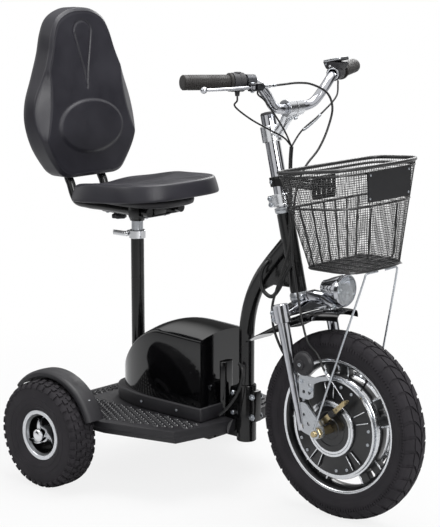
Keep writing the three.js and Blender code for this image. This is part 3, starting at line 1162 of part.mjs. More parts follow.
function wireBasket() {
  const heightShares = [0, 0.02, 0.34, 0.66, 0.965, 1];
  const floorShares = [0.16, 0.56];
  const middle = v3((basket.rearBottom + basket.frontBottom) / 2, 0, basket.bottom);
  const floorLine = (share, lift) => basketLoop(0, 0).map((p) => middle.clone().lerp(p, share).setZ(basket.bottom + lift));
  const outer = [...floorShares.map((share) => floorLine(share, 0)), ...heightShares.map((share) => basketLoop(share, 0))];
  const inner = [
    ...floorShares.map((share) => floorLine(share, basket.thickness)),
    ...heightShares.map((share, i) => basketLoop(share, i === heightShares.length - 1 ? 2 * basket.rim : basket.thickness)
      .map((p) => (i === 0 ? p.setZ(p.z + basket.thickness) : p))),
  ];
  return net(outer, inner, [floorShares.length, outer.length - 2]);
}
piece(upright, 'basket', wireBasket(), blackPaint());

// Bracket plate between the column and the basket's rear wall
const carrier = { low: 262, high: 284, radius: 22, plateHalf: 40, plateLow: 719, plateHigh: 771, thickness: 3, armY: 20, armHalf: 8 };
const carrierShare = (carrier.plateHigh - basket.bottom) / (basketHeight - basket.rimDrop);
const carrierFront = basket.rearBottom + (basket.rearTop - basket.rearBottom) * carrierShare - 2 * gap;

function basketCarrier() {
  const bandLow = onSteering(0, 0, carrier.low);
  const bandHigh = onSteering(0, 0, carrier.high);
  const middleZ = (bandLow.z + bandHigh.z) / 2;
  const plateHeight = carrier.plateHigh - carrier.plateLow;
  const plate = box(carrier.thickness, 2 * carrier.plateHalf, plateHeight, carrierFront - carrier.thickness / 2, 0, carrier.plateLow + plateHeight / 2);
  const armLength = carrierFront - bandLow.x - carrier.thickness / 2;
  const arms = [-1, 1].map((side) => box(armLength, carrier.thickness, 2 * carrier.armHalf,
    bandLow.x + armLength / 2, side * carrier.armY, middleZ));
  const bore = rod(onSteering(0, 0, carrier.low - 2 * carrier.radius), onSteering(0, 0, carrier.high + 2 * carrier.radius), boreFor(column.radius));
  return cut(join(rod(bandLow, bandHigh, carrier.radius), plate, ...arms), bore);
}
piece(upright, 'basket_bracket', basketCarrier(), blackPaint());

// Stays from the axle ends to the floor of the basket
const stay = { radius: 3, y: 102, eye: 12, thickness: 3, topX: 757, topInset: 8 };
for (const [name, side] of [['right', -1], ['left', 1]]) {
  const y = side * stay.y;
  const topZ = basket.bottom - basket.rim - stay.radius;
  const eye = cut(rodY(stay.eye, y - side * stay.thickness, y + side * stay.thickness, wheelbase, frontAxleHeight),
    rodY(frontAxle.radius + gap, y - stay.eye, y + stay.eye, wheelbase, frontAxleHeight));
  const bar = rod(v3(wheelbase, y, frontAxleHeight + (frontAxle.radius + stay.eye) / 2),
    v3(stay.topX, side * (basket.frontBottomHalf * 0.8), topZ), stay.radius, 8);
  const foot = rodY(stay.radius, side * basket.frontBottomHalf * 0.8, side * basket.frontBottomHalf * 0.3, stay.topX, topZ, 8);
  piece(upright, `basket_stay_${name}`, join(eye, bar, foot), silver());
}

// Cables. Each route is a list of points along the cable, in the upright frame.
const cable = { brake: 2.5, wire: 1, thin: 2, loom: 4.5, motor: 3, loop: 4.5 };
const throttleAt = barAt((throttle.inner + grip.inner) / 2, -1);
const armTip = v3(wheelbase + camX + arm.length * Math.cos(radians(arm.liftDegrees)), -arm.y,
  frontAxleHeight + camZ + arm.length * Math.sin(radians(arm.liftDegrees)));
const stopTop = stopAt.clone().addScaledVector(stopDirection, -hornPlate.stopHalf - gap);
const brakeRoute = [
  v3(adjusterEnd.x, adjusterEnd.y + brakeMount.adjusterLength + gap, adjusterEnd.z),
  v3(adjusterEnd.x, adjusterEnd.y + 2 * brakeMount.adjusterLength, adjusterEnd.z), v3(546, -30, 972), v3(552, 10, 966), v3(566, 46, 945),
  v3(574, 54, 915), v3(572, 42, 870), v3(570, 12, 825), v3(566, -28, 790), v3(562, -52, 745), v3(558, -58, 690), v3(556, -60, 600),
  v3(560, -52, 540), v3(572, -54, 490), v3(588, -60, 445), v3(610, -66, 405), v3(638, -68, 384), stopAt.clone().addScaledVector(stopDirection, -hornPlate.stopHalf * 3), stopTop,
];
const wireEnd = armTip.clone().addScaledVector(stopDirection, -arm.clevis * 0.8);
piece(upright, 'brake_cable', join(pipe(brakeRoute, cable.brake, 34, 6),
  rod(stopTop.clone().addScaledVector(stopDirection, -overrun), wireEnd, cable.wire, 6)), rubber());

const loomTop = v3(504, -2, 826);
const loomEnd = v3(524, -24, 592);
const loomDown = loomEnd.clone().sub(v3(514, -16, 650)).normalize();
const loomRoute = [loomTop, v3(500, 0, 796), v3(505, -6, 717), v3(514, -16, 650), loomEnd];
const throttleWire = [v3(throttleAt.x, throttleAt.y, throttleAt.z - throttle.bossDrop - gap), v3(throttleAt.x, throttleAt.y, throttleAt.z - 1.3 * throttle.bossDrop), v3(478, -164, 928), v3(488, -130, 900), v3(500, -70, 868), v3(503, -24, 846), loomTop];
const switchWire = [v3(leverPivot.x - 4, -146, leverPivot.z - brakeMount.height / 2 - gap), v3(leverPivot.x - 4, -146, leverPivot.z - brakeMount.height), v3(530, -128, 942), v3(524, -84, 905), v3(514, -36, 862), loomTop];
const displayAt = barAt(display.inner + display.depth / 2, 1);
const displayWire = [v3(displayAt.x + 6, displayAt.y, displayAt.z - display.ringRadius - gap), v3(displayAt.x + 6, displayAt.y, displayAt.z - 1.6 * display.ringRadius), v3(518, 140, 930), v3(520, 86, 896), v3(510, 24, 858), loomTop];
const motorRoute = [
  loomRoute[3], v3(522, -34, 590), v3(510, -48, 530), v3(498, -58, 470), v3(508, -66, 430), v3(528, -74, 400),
  v3(547, -74, 372), v3(566, -68, 350), v3(592, -64, 300), v3(624, -62, 250), v3(641, -62, 222),
];
piece(upright, 'wire_harness', join(pipe(loomRoute, cable.loom, 7, 8), pipe(throttleWire, cable.thin, 8, 6),
  pipe(switchWire, cable.thin, 7, 6), pipe(displayWire, cable.thin, 7, 6), pipe(motorRoute, cable.motor, 16, 6)), rubber());

const loopRoute = [
  loomEnd.clone().addScaledVector(loomDown, gap + gap), loomEnd.clone().addScaledVector(loomDown, 20), v3(512, -32, 540), v3(496, -34, 505), v3(475, -35, 486),
  v3(453, -36, 497), v3(445, -36, 528), v3(450, -31, 552), v3(452, -20, 560.4), v3(452, -10, 560.4),
];
piece(chassis, 'cable_loop', pipe(loopRoute, cable.loop, 14, 8), rubber());

// The finished scooter stands centred on its own bounding box
scooter.updateMatrixWorld(true);
const bounds = new THREE.Box3().setFromObject(scooter, true);
scooter.position.x = -(bounds.min.x + bounds.max.x) / 2;
scooter.updateMatrixWorld(true);

export default scooter;
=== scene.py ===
# A seated electric three-wheeler. Each section is one piece or a group of like pieces, with its
# sizes in millimetres.
from math import atan2, cos, hypot, pi, radians, sin

import bmesh
import bpy
from mathutils import Matrix, Vector


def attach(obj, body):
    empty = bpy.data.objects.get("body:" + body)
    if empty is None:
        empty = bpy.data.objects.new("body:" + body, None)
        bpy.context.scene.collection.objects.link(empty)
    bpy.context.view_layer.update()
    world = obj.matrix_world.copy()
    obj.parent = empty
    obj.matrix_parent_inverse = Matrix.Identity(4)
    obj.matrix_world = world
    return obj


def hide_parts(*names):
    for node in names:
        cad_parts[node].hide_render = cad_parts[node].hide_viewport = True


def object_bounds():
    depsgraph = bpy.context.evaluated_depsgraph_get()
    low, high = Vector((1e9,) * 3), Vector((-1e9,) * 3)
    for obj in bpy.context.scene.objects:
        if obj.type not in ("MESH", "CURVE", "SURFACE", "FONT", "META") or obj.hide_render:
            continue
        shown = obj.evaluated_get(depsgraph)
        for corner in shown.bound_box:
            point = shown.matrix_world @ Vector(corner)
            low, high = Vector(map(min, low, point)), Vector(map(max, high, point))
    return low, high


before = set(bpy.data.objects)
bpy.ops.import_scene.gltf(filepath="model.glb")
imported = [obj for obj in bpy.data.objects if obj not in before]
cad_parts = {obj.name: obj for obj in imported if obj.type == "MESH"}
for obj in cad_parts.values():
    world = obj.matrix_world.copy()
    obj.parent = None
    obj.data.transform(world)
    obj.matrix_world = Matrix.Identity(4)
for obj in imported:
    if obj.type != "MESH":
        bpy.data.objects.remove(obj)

cad_box = [list(map(float, corner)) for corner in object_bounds()]


# CAMERA
# A long lens stands low on the right-hand front quarter, as the scooter is shown. The sensor's
# width lies along the picture's taller side, which is 527 pixels.
camera = bpy.data.objects.new("camera", bpy.data.cameras.new("camera"))
sensor_width, picture_height, focal_pixels = 36, 527, 1760
camera.data.sensor_width = sensor_width
camera.data.lens = focal_pixels / picture_height * sensor_width
camera.data.clip_end = 60
turn, tilt = radians(42), radians(11.1)
look = Vector((-sin(turn) * cos(tilt), cos(turn) * cos(tilt), -sin(tilt)))
right = Vector((cos(turn), sin(turn), 0))
axes = Matrix((right, right.cross(look), -look)).transposed().to_4x4()
lens_place = (2.664, -2.998, 1.324)
camera.matrix_world = Matrix.Translation(lens_place) @ axes
bpy.context.scene.collection.objects.link(camera)
bpy.context.scene.camera = camera
bpy.context.scene.view_settings.view_transform = "Standard"


# STUDIO
# A pale floor and a white room with grey gaps between its soft boxes, so that chrome has both
# light and dark to show.
def add(tree, kind, inputs={}, **properties):
    """One shader node with its properties, and its inputs as plain values or as links.

    An input has its name or its number on the node: a Map Range reads the span from 1 to 2 and
    gives the span from 3 to 4, and a colour Mix has its colours at 6 and 7.
    """
    made = tree.nodes.new("ShaderNode" + kind)
    for key, value in properties.items():
        setattr(made, key, value)
    for key, value in inputs.items():
        if isinstance(value, bpy.types.NodeSocket):
            tree.links.new(value, made.inputs[key])
        else:
            made.inputs[key].default_value = value
    return made


def linear(code):
    """An sRGB hex colour as the linear values that the shader works in."""
    shares = [int(code[i:i + 2], 16) / 255 for i in (1, 3, 5)]
    return tuple(s / 12.92 if s <= 0.04045 else ((s + 0.055) / 1.055) ** 2.4 for s in shares) + (1,)


room = bpy.data.worlds.new("studio_room")
bpy.context.scene.world = room
room.use_nodes = True
tree = room.node_tree
tree.nodes.clear()
way = add(tree, "SeparateXYZ", {0: add(tree, "TexCoord").outputs["Generated"]})
round_about = add(tree, "Math", {0: way.outputs[1], 1: way.outputs[0]}, operation="ARCTAN2")
waves = add(tree, "Math", {0: round_about.outputs[0], 1: 4, 2: 0.9}, operation="MULTIPLY_ADD")
gaps = add(tree, "Math", {0: waves.outputs[0]}, operation="SINE")
sides = add(tree, "MapRange", {"Value": gaps.outputs[0], 1: -0.45, 2: 0.3, 3: 0.06, 4: 0.92},
            interpolation_type="SMOOTHSTEP")
height = add(tree, "MapRange", {"Value": way.outputs[2], 1: 0.25, 2: 0.6, 3: 0, 4: 1},
             interpolation_type="SMOOTHSTEP")
walls = add(tree, "Mix", {0: height.outputs[0], 2: sides.outputs[0], 3: 0.95})
rays = add(tree, "LightPath")
even = add(tree, "Background", {"Color": linear("#f4f6fa"), "Strength": 0.38})
shiny = add(tree, "Background", {"Color": linear("#ffffff"), "Strength": walls.outputs[0]})
white = add(tree, "Background", {"Color": linear("#ffffff"), "Strength": 1})
lit = add(tree, "MixShader", {0: rays.outputs["Is Glossy Ray"], 1: even.outputs[0], 2: shiny.outputs[0]})
seen = add(tree, "MixShader", {0: rays.outputs["Is Camera Ray"], 1: lit.outputs[0], 2: white.outputs[0]})
add(tree, "OutputWorld", {0: seen.outputs[0]})

floor_paint = bpy.data.materials.new("studio_floor")
floor_paint.use_nodes = True
tree = floor_paint.node_tree
tree.nodes.clear()
rays = add(tree, "LightPath")
matt = add(tree, "BsdfDiffuse", {"Color": linear("#d2d2d2")})
glow = add(tree, "Emission", {"Color": linear("#ffffff"), "Strength": 1})
through_glass = add(tree, "Math", {0: rays.outputs["Is Camera Ray"],
                                   1: rays.outputs["Is Transmission Ray"]}, operation="MAXIMUM")
away = add(tree, "VectorMath", {0: add(tree, "TexCoord").outputs["Object"]}, operation="LENGTH")
fading = add(tree, "MapRange", {"Value": away.outputs["Value"], 1: 0.8, 2: 1.9, 3: 0.84, 4: 1},
             interpolation_type="SMOOTHSTEP")
share = add(tree, "Math", {0: through_glass.outputs[0], 1: fading.outputs[0]}, operation="MULTIPLY")
blend = add(tree, "MixShader", {0: share.outputs[0], 1: matt.outputs[0], 2: glow.outputs[0]})
add(tree, "OutputMaterial", {0: blend.outputs[0]})
# The floor lies a hair under the tyres, so that the two never share a plane.
floor_half, floor_gap = 9, 0.0004
shape = bmesh.new()
bmesh.ops.create_grid(shape, x_segments=1, y_segments=1, size=floor_half)
floor_mesh = bpy.data.meshes.new("floor")
shape.to_mesh(floor_mesh)
shape.free()
floor_mesh.transform(Matrix.Translation((0, 0, cad_box[0][2] - floor_gap)))
floor_mesh.materials.append(floor_paint)
floor = bpy.data.objects.new("floor", floor_mesh)
bpy.context.scene.collection.objects.link(floor)

# Soft boxes: the place and the size of each in metres, and its power in watts.
aim_point = Vector((0, 0, 0.5))
for name, place, size, power in (
    ("key_box", (-1.6, -2.6, 2.9), 1.6, 26),
    ("front_box", (3.2, -1.2, 2.2), 1.4, 66),
    ("top_box", (0.2, 0.4, 3.4), 2.2, 110),
    ("rim_box", (-1.4, 3.0, 2.2), 1.6, 36),
):
    lamp = bpy.data.objects.new(name, bpy.data.lights.new(name, "AREA"))
    lamp.data.size = size
    lamp.data.energy = power
    aimed = (aim_point - Vector(place)).to_track_quat("-Z", "Y").to_matrix().to_4x4()
    lamp.matrix_world = Matrix.Translation(place) @ aimed
    bpy.context.scene.collection.objects.link(lamp)


# BASE FRAME
# Two welded box beams with cross members, the rear axle's tube, and the round socket with clamp
# flanges that grips the foot of the column with four through bolts. Welded steel, powder coated.
def finish(name, colour, roughness, metallic=0.0, **sockets):
    """A material for one real finish, its even values set on the shader's own sockets.

    Its nodes, its shader and the piece's own coordinates come with it, for the finish's patterns.
    """
    made = bpy.data.materials.new(name)
    made.use_nodes = True
    shader = made.node_tree.nodes["Principled BSDF"]
    shader.inputs["Base Color"].default_value = linear(colour)
    shader.inputs["Roughness"].default_value = roughness
    shader.inputs["Metallic"].default_value = metallic
    for key, value in sockets.items():
        shader.inputs[key.replace("_", " ").title().replace("Ior", "IOR")].default_value = value
    spot = add(made.node_tree, "TexCoord").outputs["Object"]
    return made, made.node_tree, shader, spot


def relief(tree, shader, height, strength, depth):
    """Carries a pattern's height, in millimetres of depth, to the shader as a bump."""
    bump = add(tree, "Bump", {"Height": height, "Strength": strength, "Distance": depth / 1000})
    tree.links.new(bump.outputs[0], shader.inputs["Normal"])


# Powder coat: black, glossy, with a faint orange peel of 2.5 mm and dulled patches of 60 mm.
powder_coat, tree, shader, spot = finish("powder_coated_steel", "#09090a", 0.22, coat_weight=0.25,
                                         coat_roughness=0.08, specular_ior_level=0.35)
peel = add(tree, "TexNoise", {"Vector": spot, "Scale": 1000 / 2.5, "Detail": 2})
dull = add(tree, "TexNoise", {"Vector": spot, "Scale": 1000 / 60, "Detail": 3})
dulled = add(tree, "MapRange", {"Value": dull.outputs[0], 1: 0.3, 2: 0.7, 3: 0.16, 4: 0.3})
tree.links.new(dulled.outputs[0], shader.inputs["Roughness"])
relief(tree, shader, peel.outputs[0], 0.25, 0.05)

# Bright zinc on small steel bolts and nuts: cool grey, fairly shiny, with 6 mm clouding.
bolt_zinc, tree, shader, spot = finish("zinc_plated_bolt", "#b9bdc2", 0.28, 1.0)
cloud = add(tree, "TexNoise", {"Vector": spot, "Scale": 1000 / 6, "Detail": 4})
clouded = add(tree, "MapRange", {"Value": cloud.outputs[0], 1: 0.3, 2: 0.7, 3: 0.2, 4: 0.42})
tree.links.new(clouded.outputs[0], shader.inputs["Roughness"])


axle_to_origin = 323.751


def at(x, y, z):
    """A place laid out from the ground under the rear axle, X forward, in the row frame."""
    return Vector((x - axle_to_origin, y, z))


def row_x(x):
    """An X laid out from the rear axle, in the row frame."""
    return at(x, 0, 0).x


def laid_out(points):
    """A flat outline whose first numbers are laid out from the rear axle, in the row frame."""
    return [(row_x(x), other) for x, other in points]


def moved(shape, matrix):
    """Carries a shape to its place, and hands it back."""
    bmesh.ops.transform(shape, matrix=matrix, verts=shape.verts)
    return shape


def aim(direction, place):
    """Turns Z to a direction and carries the origin to a place."""
    return Matrix.Translation(place) @ Vector(direction).to_track_quat("Z", "Y").to_matrix().to_4x4()


def eased(shape, width, segments=2, least=30):
    """Rounds every edge sharper than the least angle."""
    sharp = [e for e in shape.edges if len(e.link_faces) == 2 and e.calc_face_angle(0) > radians(least)]
    bmesh.ops.bevel(shape, geom=sharp, offset=width, offset_type="OFFSET", segments=segments,
                    profile=0.5, affect="EDGES", clamp_overlap=True, material=-1)
    return shape


def block(low, high, width=1.5, segments=2):
    """A box between two corners, with rounded edges."""
    low, high = Vector(low), Vector(high)
    shape = bmesh.new()
    place = Matrix.Translation((low + high) / 2) @ Matrix.Diagonal((*(high - low), 1))
    bmesh.ops.create_cube(shape, size=1, matrix=place)
    return eased(shape, width, segments) if width else shape


def rod(start, end, radius, far=None, sides=32, width=0.0):
    """A round bar between two places, its far end of another radius if one is given."""
    start, end = Vector(start), Vector(end)
    shape = bmesh.new()
    far = radius if far is None else far
    bmesh.ops.create_cone(shape, cap_ends=True, segments=sides, radius1=radius, radius2=far,
                          depth=(end - start).length, matrix=aim(end - start, (start + end) / 2))
    return eased(shape, width, 2, 40) if width else shape


def turned(profile, steps=56):
    """A ring or disc spun about Z from [radius, height] pairs."""
    shape = bmesh.new()
    corners = [shape.verts.new((r, 0, h)) for r, h in profile]
    edges = [shape.edges.new(pair) for pair in zip(corners, corners[1:])]
    if profile[0][0] > 0 or profile[-1][0] > 0:
        edges.append(shape.edges.new((corners[-1], corners[0])))
    bmesh.ops.spin(shape, geom=corners + edges, cent=(0, 0, 0), axis=(0, 0, 1), dvec=(0, 0, 0),
                   angle=2 * pi, steps=steps, use_merge=True, use_duplicate=False)
    bmesh.ops.remove_doubles(shape, verts=shape.verts, dist=0.001)
    bmesh.ops.recalc_face_normals(shape, faces=shape.faces)
    return shape


def slab(outline, low, high, plane="XZ", holes=()):
    """A flat plate cut to an outline in one plane, between two depths across it, with holes."""
    spread, across = {
        "XY": (lambda a, b: (a, b, low), (0, 0, 1)),
        "XZ": (lambda a, b: (a, low, b), (0, 1, 0)),
        "YZ": (lambda a, b: (low, a, b), (1, 0, 0)),
    }[plane]
    shape = bmesh.new()
    for line in (outline, *holes):
        ring = [shape.verts.new(spread(*p)) for p in line]
        for k, corner in enumerate(ring):
            shape.edges.new((ring[k - 1], corner))
        if not holes:
            shape.faces.new(ring)
    if holes:
        bmesh.ops.triangle_fill(shape, use_beauty=True, use_dissolve=False, edges=shape.edges)
    pushed = bmesh.ops.extrude_face_region(shape, geom=shape.faces[:])["geom"]
    far_side = [v for v in pushed if isinstance(v, bmesh.types.BMVert)]
    bmesh.ops.translate(shape, verts=far_side, vec=Vector(across) * (high - low))
    bmesh.ops.recalc_face_normals(shape, faces=shape.faces)
    return shape


def rounded(points, radius, steps=4):
    """A closed flat outline with its corners rounded."""
    line = []
    for k, corner in enumerate(points):
        corner = Vector(corner)
        back, ahead = Vector(points[k - 1]) - corner, Vector(points[(k + 1) % len(points)]) - corner
        reach = min(radius, back.length / 2.05, ahead.length / 2.05)
        back, ahead = back.normalized() * reach, ahead.normalized() * reach
        line += [corner + back * (1 - i / steps) ** 2 + ahead * (i / steps) ** 2 for i in range(steps + 1)]
    return line


def circle(radius, x=0.0, y=0.0, count=20):
    """A round outline about a place."""
    angles = [2 * pi * k / count for k in range(count)]
    return [(x + radius * cos(a), y + radius * sin(a)) for a in angles]


def bolt(place, direction, radius=5, height=4, socket=True):
    """A bolt head standing on a face: a socket cap, or a hexagon on a washer."""
    if socket:
        sides = 16
        shares = [(0, 0.45), (0.5, 0.45), (0.52, 1), (0.86, 1), (1, 0.8), (1, 0), (0, 0)]
    else:
        sides = 6
        shares = [(0, 0), (1.35, 0), (1.35, 0.2), (1, 0.22), (1, 0.9), (0.9, 1), (0.45, 1),
                  (0.45, 1.25), (0, 1.3)]
    head = turned([(radius * across, height * up) for across, up in shares], sides)
    return moved(head, aim(direction, place))


def piece(name, solids, body, replaces=(), least=35):
    """Joins finished solids, each with its material, into one piece on a body, in metres."""
    whole, finishes = bmesh.new(), []
    for shape, materials in solids:
        materials = materials if isinstance(materials, tuple) else (materials,)
        finishes += [m for m in materials if m not in finishes]
        for face in shape.faces:
            face.material_index = finishes.index(materials[min(face.material_index, len(materials) - 1)])
        part = bpy.data.meshes.new(name)
        shape.to_mesh(part)
        shape.free()
        whole.from_mesh(part)
        bpy.data.meshes.remove(part)
    bmesh.ops.scale(whole, vec=(0.001, 0.001, 0.001), verts=whole.verts)
    mesh = bpy.data.meshes.new(name)
    whole.to_mesh(mesh)
    whole.free()
    mesh.shade_smooth()
    mesh.set_sharp_from_angle(angle=radians(least))
    for material in finishes:
        mesh.materials.append(material)
    made = bpy.data.objects.new(name, mesh)
    bpy.context.scene.collection.objects.link(made)
    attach(made, body)
    if replaces:
        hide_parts(*replaces)
    return made


axle_height, column_x = 128.4, 372
beam_y, beam_half, beam_low, beam_front = 62, 13, 128, 322
solids = []
for side in (-1, 1):
    rear_corner = at(-14, side * beam_y - beam_half, beam_low)
    front_corner = at(beam_front, side * beam_y + beam_half, 165.7)
    solids.append((block(rear_corner, front_corner, 2.5), powder_coat))
for rear, front in ((3, 33), (296, beam_front)):
    solids.append((block(at(rear, -beam_y, beam_low), at(front, beam_y, 165.6), 2.5), powder_coat))
solids.append((rod(at(0, -215, axle_height), at(0, 215, axle_height), 15, width=1), powder_coat))
socket = turned([(18.4, 122), (21.5, 122), (23, 123.5), (23, 255), (21.8, 257), (18.4, 257)])
solids.append((moved(socket, Matrix.Translation(at(column_x, 0, 0))), powder_coat))
web = rounded(laid_out([(320, 128), (374, 128), (374, 249), (333, 249), (320, 165)]), 5)
solids.append((eased(slab(web, -beam_half, beam_half), 1.5), powder_coat))
solids.append((block(at(393, -beam_half, 172), at(407, beam_half, 246), 3), powder_coat))
for x, z in ((343, 234), (343, 186), (401, 232), (401, 184)):
    for side in (-1, 1):
        through_bolt = bolt(at(x, side * beam_half, z), (0, side, 0), 6, 6, socket=x < 400)
        solids.append((through_bolt, bolt_zinc))
piece("base_frame_welded", solids, "chassis", ["base_frame"])
rod_end = rod(at(0, -309, axle_height), at(0, 309, axle_height), 8.5, width=1)
piece("rear_axle_bar", [(rod_end, bolt_zinc)], "chassis", ["rear_axle"])


# MAIN COLUMN
# A bent round tube that rises from the socket to the head tube, with a flat gusset plate welded
# into the corner and a rubber grommet where the cable goes in. Steel, powder coated.
def through(points, per=8):
    """Places along the smooth curve through a row of places."""
    p = [Vector(q) for q in points]
    p = [2 * p[0] - p[1], *p, 2 * p[-1] - p[-2]]
    line = []
    for a, b, c, d in zip(p, p[1:], p[2:], p[3:]):
        t1 = (b - a).length ** 0.5
        t2 = t1 + (c - b).length ** 0.5
        t3 = t2 + (d - c).length ** 0.5
        for k in range(per):
            t = t1 + (t2 - t1) * k / per
            ab, bc, cd = a.lerp(b, t / t1), b.lerp(c, (t - t1) / (t2 - t1)), c.lerp(d, (t - t2) / (t3 - t2))
            line.append(ab.lerp(bc, t / t2).lerp(bc.lerp(cd, (t - t1) / (t3 - t1)), (t - t1) / (t2 - t1)))
    return line + [p[-2]]


def tube(points, radius, sides=3, closed=False):
    """A round tube, wire or cable along a row of places."""
    route = bpy.data.curves.new("route", "CURVE")
    route.dimensions = "3D"
    route.bevel_depth, route.bevel_resolution, route.use_fill_caps = radius, sides, True
    line = route.splines.new("POLY")
    line.points.add(len(points) - 1)
    line.use_cyclic_u = closed
    for node, place in zip(line.points, points):
        node.co = (*place, 1)
    holder = bpy.data.objects.new("route", route)
    made = bpy.data.meshes.new_from_object(holder)
    shape = bmesh.new()
    shape.from_mesh(made)
    bpy.data.objects.remove(holder)
    bpy.data.curves.remove(route)
    bpy.data.meshes.remove(made)
    bmesh.ops.remove_doubles(shape, verts=shape.verts, dist=0.001)
    bmesh.ops.recalc_face_normals(shape, faces=shape.faces)
    return shape


# The fork's own frame has its origin at the crown, on the steering axis, and its Z up that axis.
rake, crown_place = radians(13.5), at(531.687, 0, 479.647)
fork = Matrix.Translation(crown_place) @ Matrix.Rotation(-rake, 4, "Y")
bend_turn, bend_radius, bend_start, column_radius = radians(42), 265, 370, 18
bend_way = Vector((sin(bend_turn), 0, cos(bend_turn)))
column_line = [at(column_x, 0, 131), at(column_x, 0, 352)]
for k in range(6):
    a = bend_turn * k / 5
    column_line.append(at(column_x + bend_radius * (1 - cos(a)), 0, bend_start + bend_radius * sin(a)))
elbow = column_line[-1]
meet = elbow + bend_way * 88.9
low = fork @ Vector((0, 0, 20))
solids = [(tube(through(column_line + [meet]), column_radius, 6), powder_coat)]
head = turned([(15, 20), (17.5, 20), (19, 21.5), (19, 198.5), (17.5, 200), (15, 200)])
solids.append((moved(head, fork), powder_coat))
plate = [elbow.xz, meet.xz, (low.x - 14, low.z + 7), (low.x - 34, low.z + 7),
         (elbow.x + 14, elbow.z - 42), (elbow.x - 18, elbow.z - 60)]
solids.append((eased(slab(rounded(plate, 4), -4, 4), 1.2), powder_coat))
# Moulded rubber: near black and dull, with soft highlights only.
rubber_grommet = finish("grommet_rubber", "#141415", 0.55)[0]
entry = elbow + bend_way * 18
ring = turned([(4.7, 0), (8.5, 0), (9, 1.5), (8, 3), (4.7, 3.2)], 24)
solids.append((moved(ring, aim((0, -1, 0), entry + Vector((0, -16.5, 0)))), rubber_grommet))
piece("main_column_tube", solids, "chassis", ["main_column"])


# HEADSET CUPS
# Two turned steel cups pressed on the ends of the head tube, brushed and bright.

# Brushed steel: satin grey, its highlights broken by fine lines 0.4 mm apart that run round it.
satin_steel, tree, shader, spot = finish("brushed_steel", "#b4b7bb", 0.3, 1.0)
stretch = add(tree, "Mapping", {"Vector": spot, "Scale": (60, 60, 2600)})
lines = add(tree, "TexNoise", {"Vector": stretch.outputs[0], "Scale": 1, "Detail": 3})
streak = add(tree, "MapRange", {"Value": lines.outputs[0], 1: 0.3, 2: 0.7, 3: 0.22, 4: 0.42})
tree.links.new(streak.outputs[0], shader.inputs["Roughness"])
relief(tree, shader, lines.outputs[0], 0.15, 0.02)
for name, profile in (
    ("lower", [(13.2, 3), (21, 3), (22, 4), (22, 9), (20.5, 10), (22, 11), (22, 15), (19.5, 19.6),
               (13.2, 19.6)]),
    ("upper", [(13.2, 200.3), (19.5, 200.3), (22, 204), (22, 207.5), (20.6, 208.5), (22, 209.5),
               (22, 212.7), (21, 213.7), (13.2, 213.7)]),
):
    piece(f"headset_race_{name}", [(moved(turned(profile), fork), satin_steel)], "chassis",
          [f"headset_cup_{name}"])


# DECK
# One moulded platform of polypropylene, matt and slightly grained, with a raised rim at the back,
# a stepped skirt and hundreds of small raised bars for the feet to grip.

# Polypropylene from a grained mould: matt charcoal, with a 1.6 mm pebble and 80 mm dusty patches.
moulded_pp, tree, shader, spot = finish("moulded_polypropylene", "#1a191c", 0.55, specular_ior_level=0.5)
grain = add(tree, "TexVoronoi", {"Vector": spot, "Scale": 1000 / 1.6})
wash = add(tree, "TexNoise", {"Vector": spot, "Scale": 1000 / 80, "Detail": 4})
dusty = add(tree, "Mix", {0: wash.outputs[0], 6: linear("#151417"), 7: linear("#212024")}, data_type="RGBA")
tree.links.new(dusty.outputs[2], shader.inputs["Base Color"])
worn = add(tree, "MapRange", {"Value": wash.outputs[0], 1: 0.3, 2: 0.7, 3: 0.42, 4: 0.62})
tree.links.new(worn.outputs[0], shader.inputs["Roughness"])
relief(tree, shader, grain.outputs[0], 0.35, 0.12)


def smooth(t):
    """An eased step from 0 to 1 as t goes from 0 to 1."""
    t = min(1, max(0, t))
    return t * t * (3 - 2 * t)


def loft(rings, capped=True, closed=True):
    """A skin bridged from one ring of places to the next."""
    shape = bmesh.new()
    hoops = []
    for ring in rings:
        corners = [shape.verts.new(p) for p in ring]
        steps = range(0 if closed else 1, len(corners))
        hoops.append([shape.edges.new((corners[k - 1], corners[k])) for k in steps])
        if capped and ring is rings[0]:
            shape.faces.new(corners)
    for one, two in zip(hoops, hoops[1:]):
        bmesh.ops.bridge_loops(shape, edges=one + two)
    if capped:
        shape.faces.new(corners)
    bmesh.ops.recalc_face_normals(shape, faces=shape.faces)
    return shape


deck_rear, deck_front, deck_under = -95, 345, 141
deck_wide, deck_waist, deck_nose = 237, 188, 40


def deck_half(x):
    """Half the deck's width: full at the back, narrower ahead, and cut to a blunt nose."""
    if x <= 130:
        return deck_wide
    if x <= 315:
        return deck_wide + (deck_waist - deck_wide) * (x - 130) / 185
    return deck_waist + (deck_nose - deck_waist) * (x - 315) / 30


def deck_height(x, y):
    """The height of the deck's top, which rises to the wheels at its rear corners."""
    return 170 + 30 * smooth((45 - x) / 140) * smooth((abs(y) - 97) / 140)


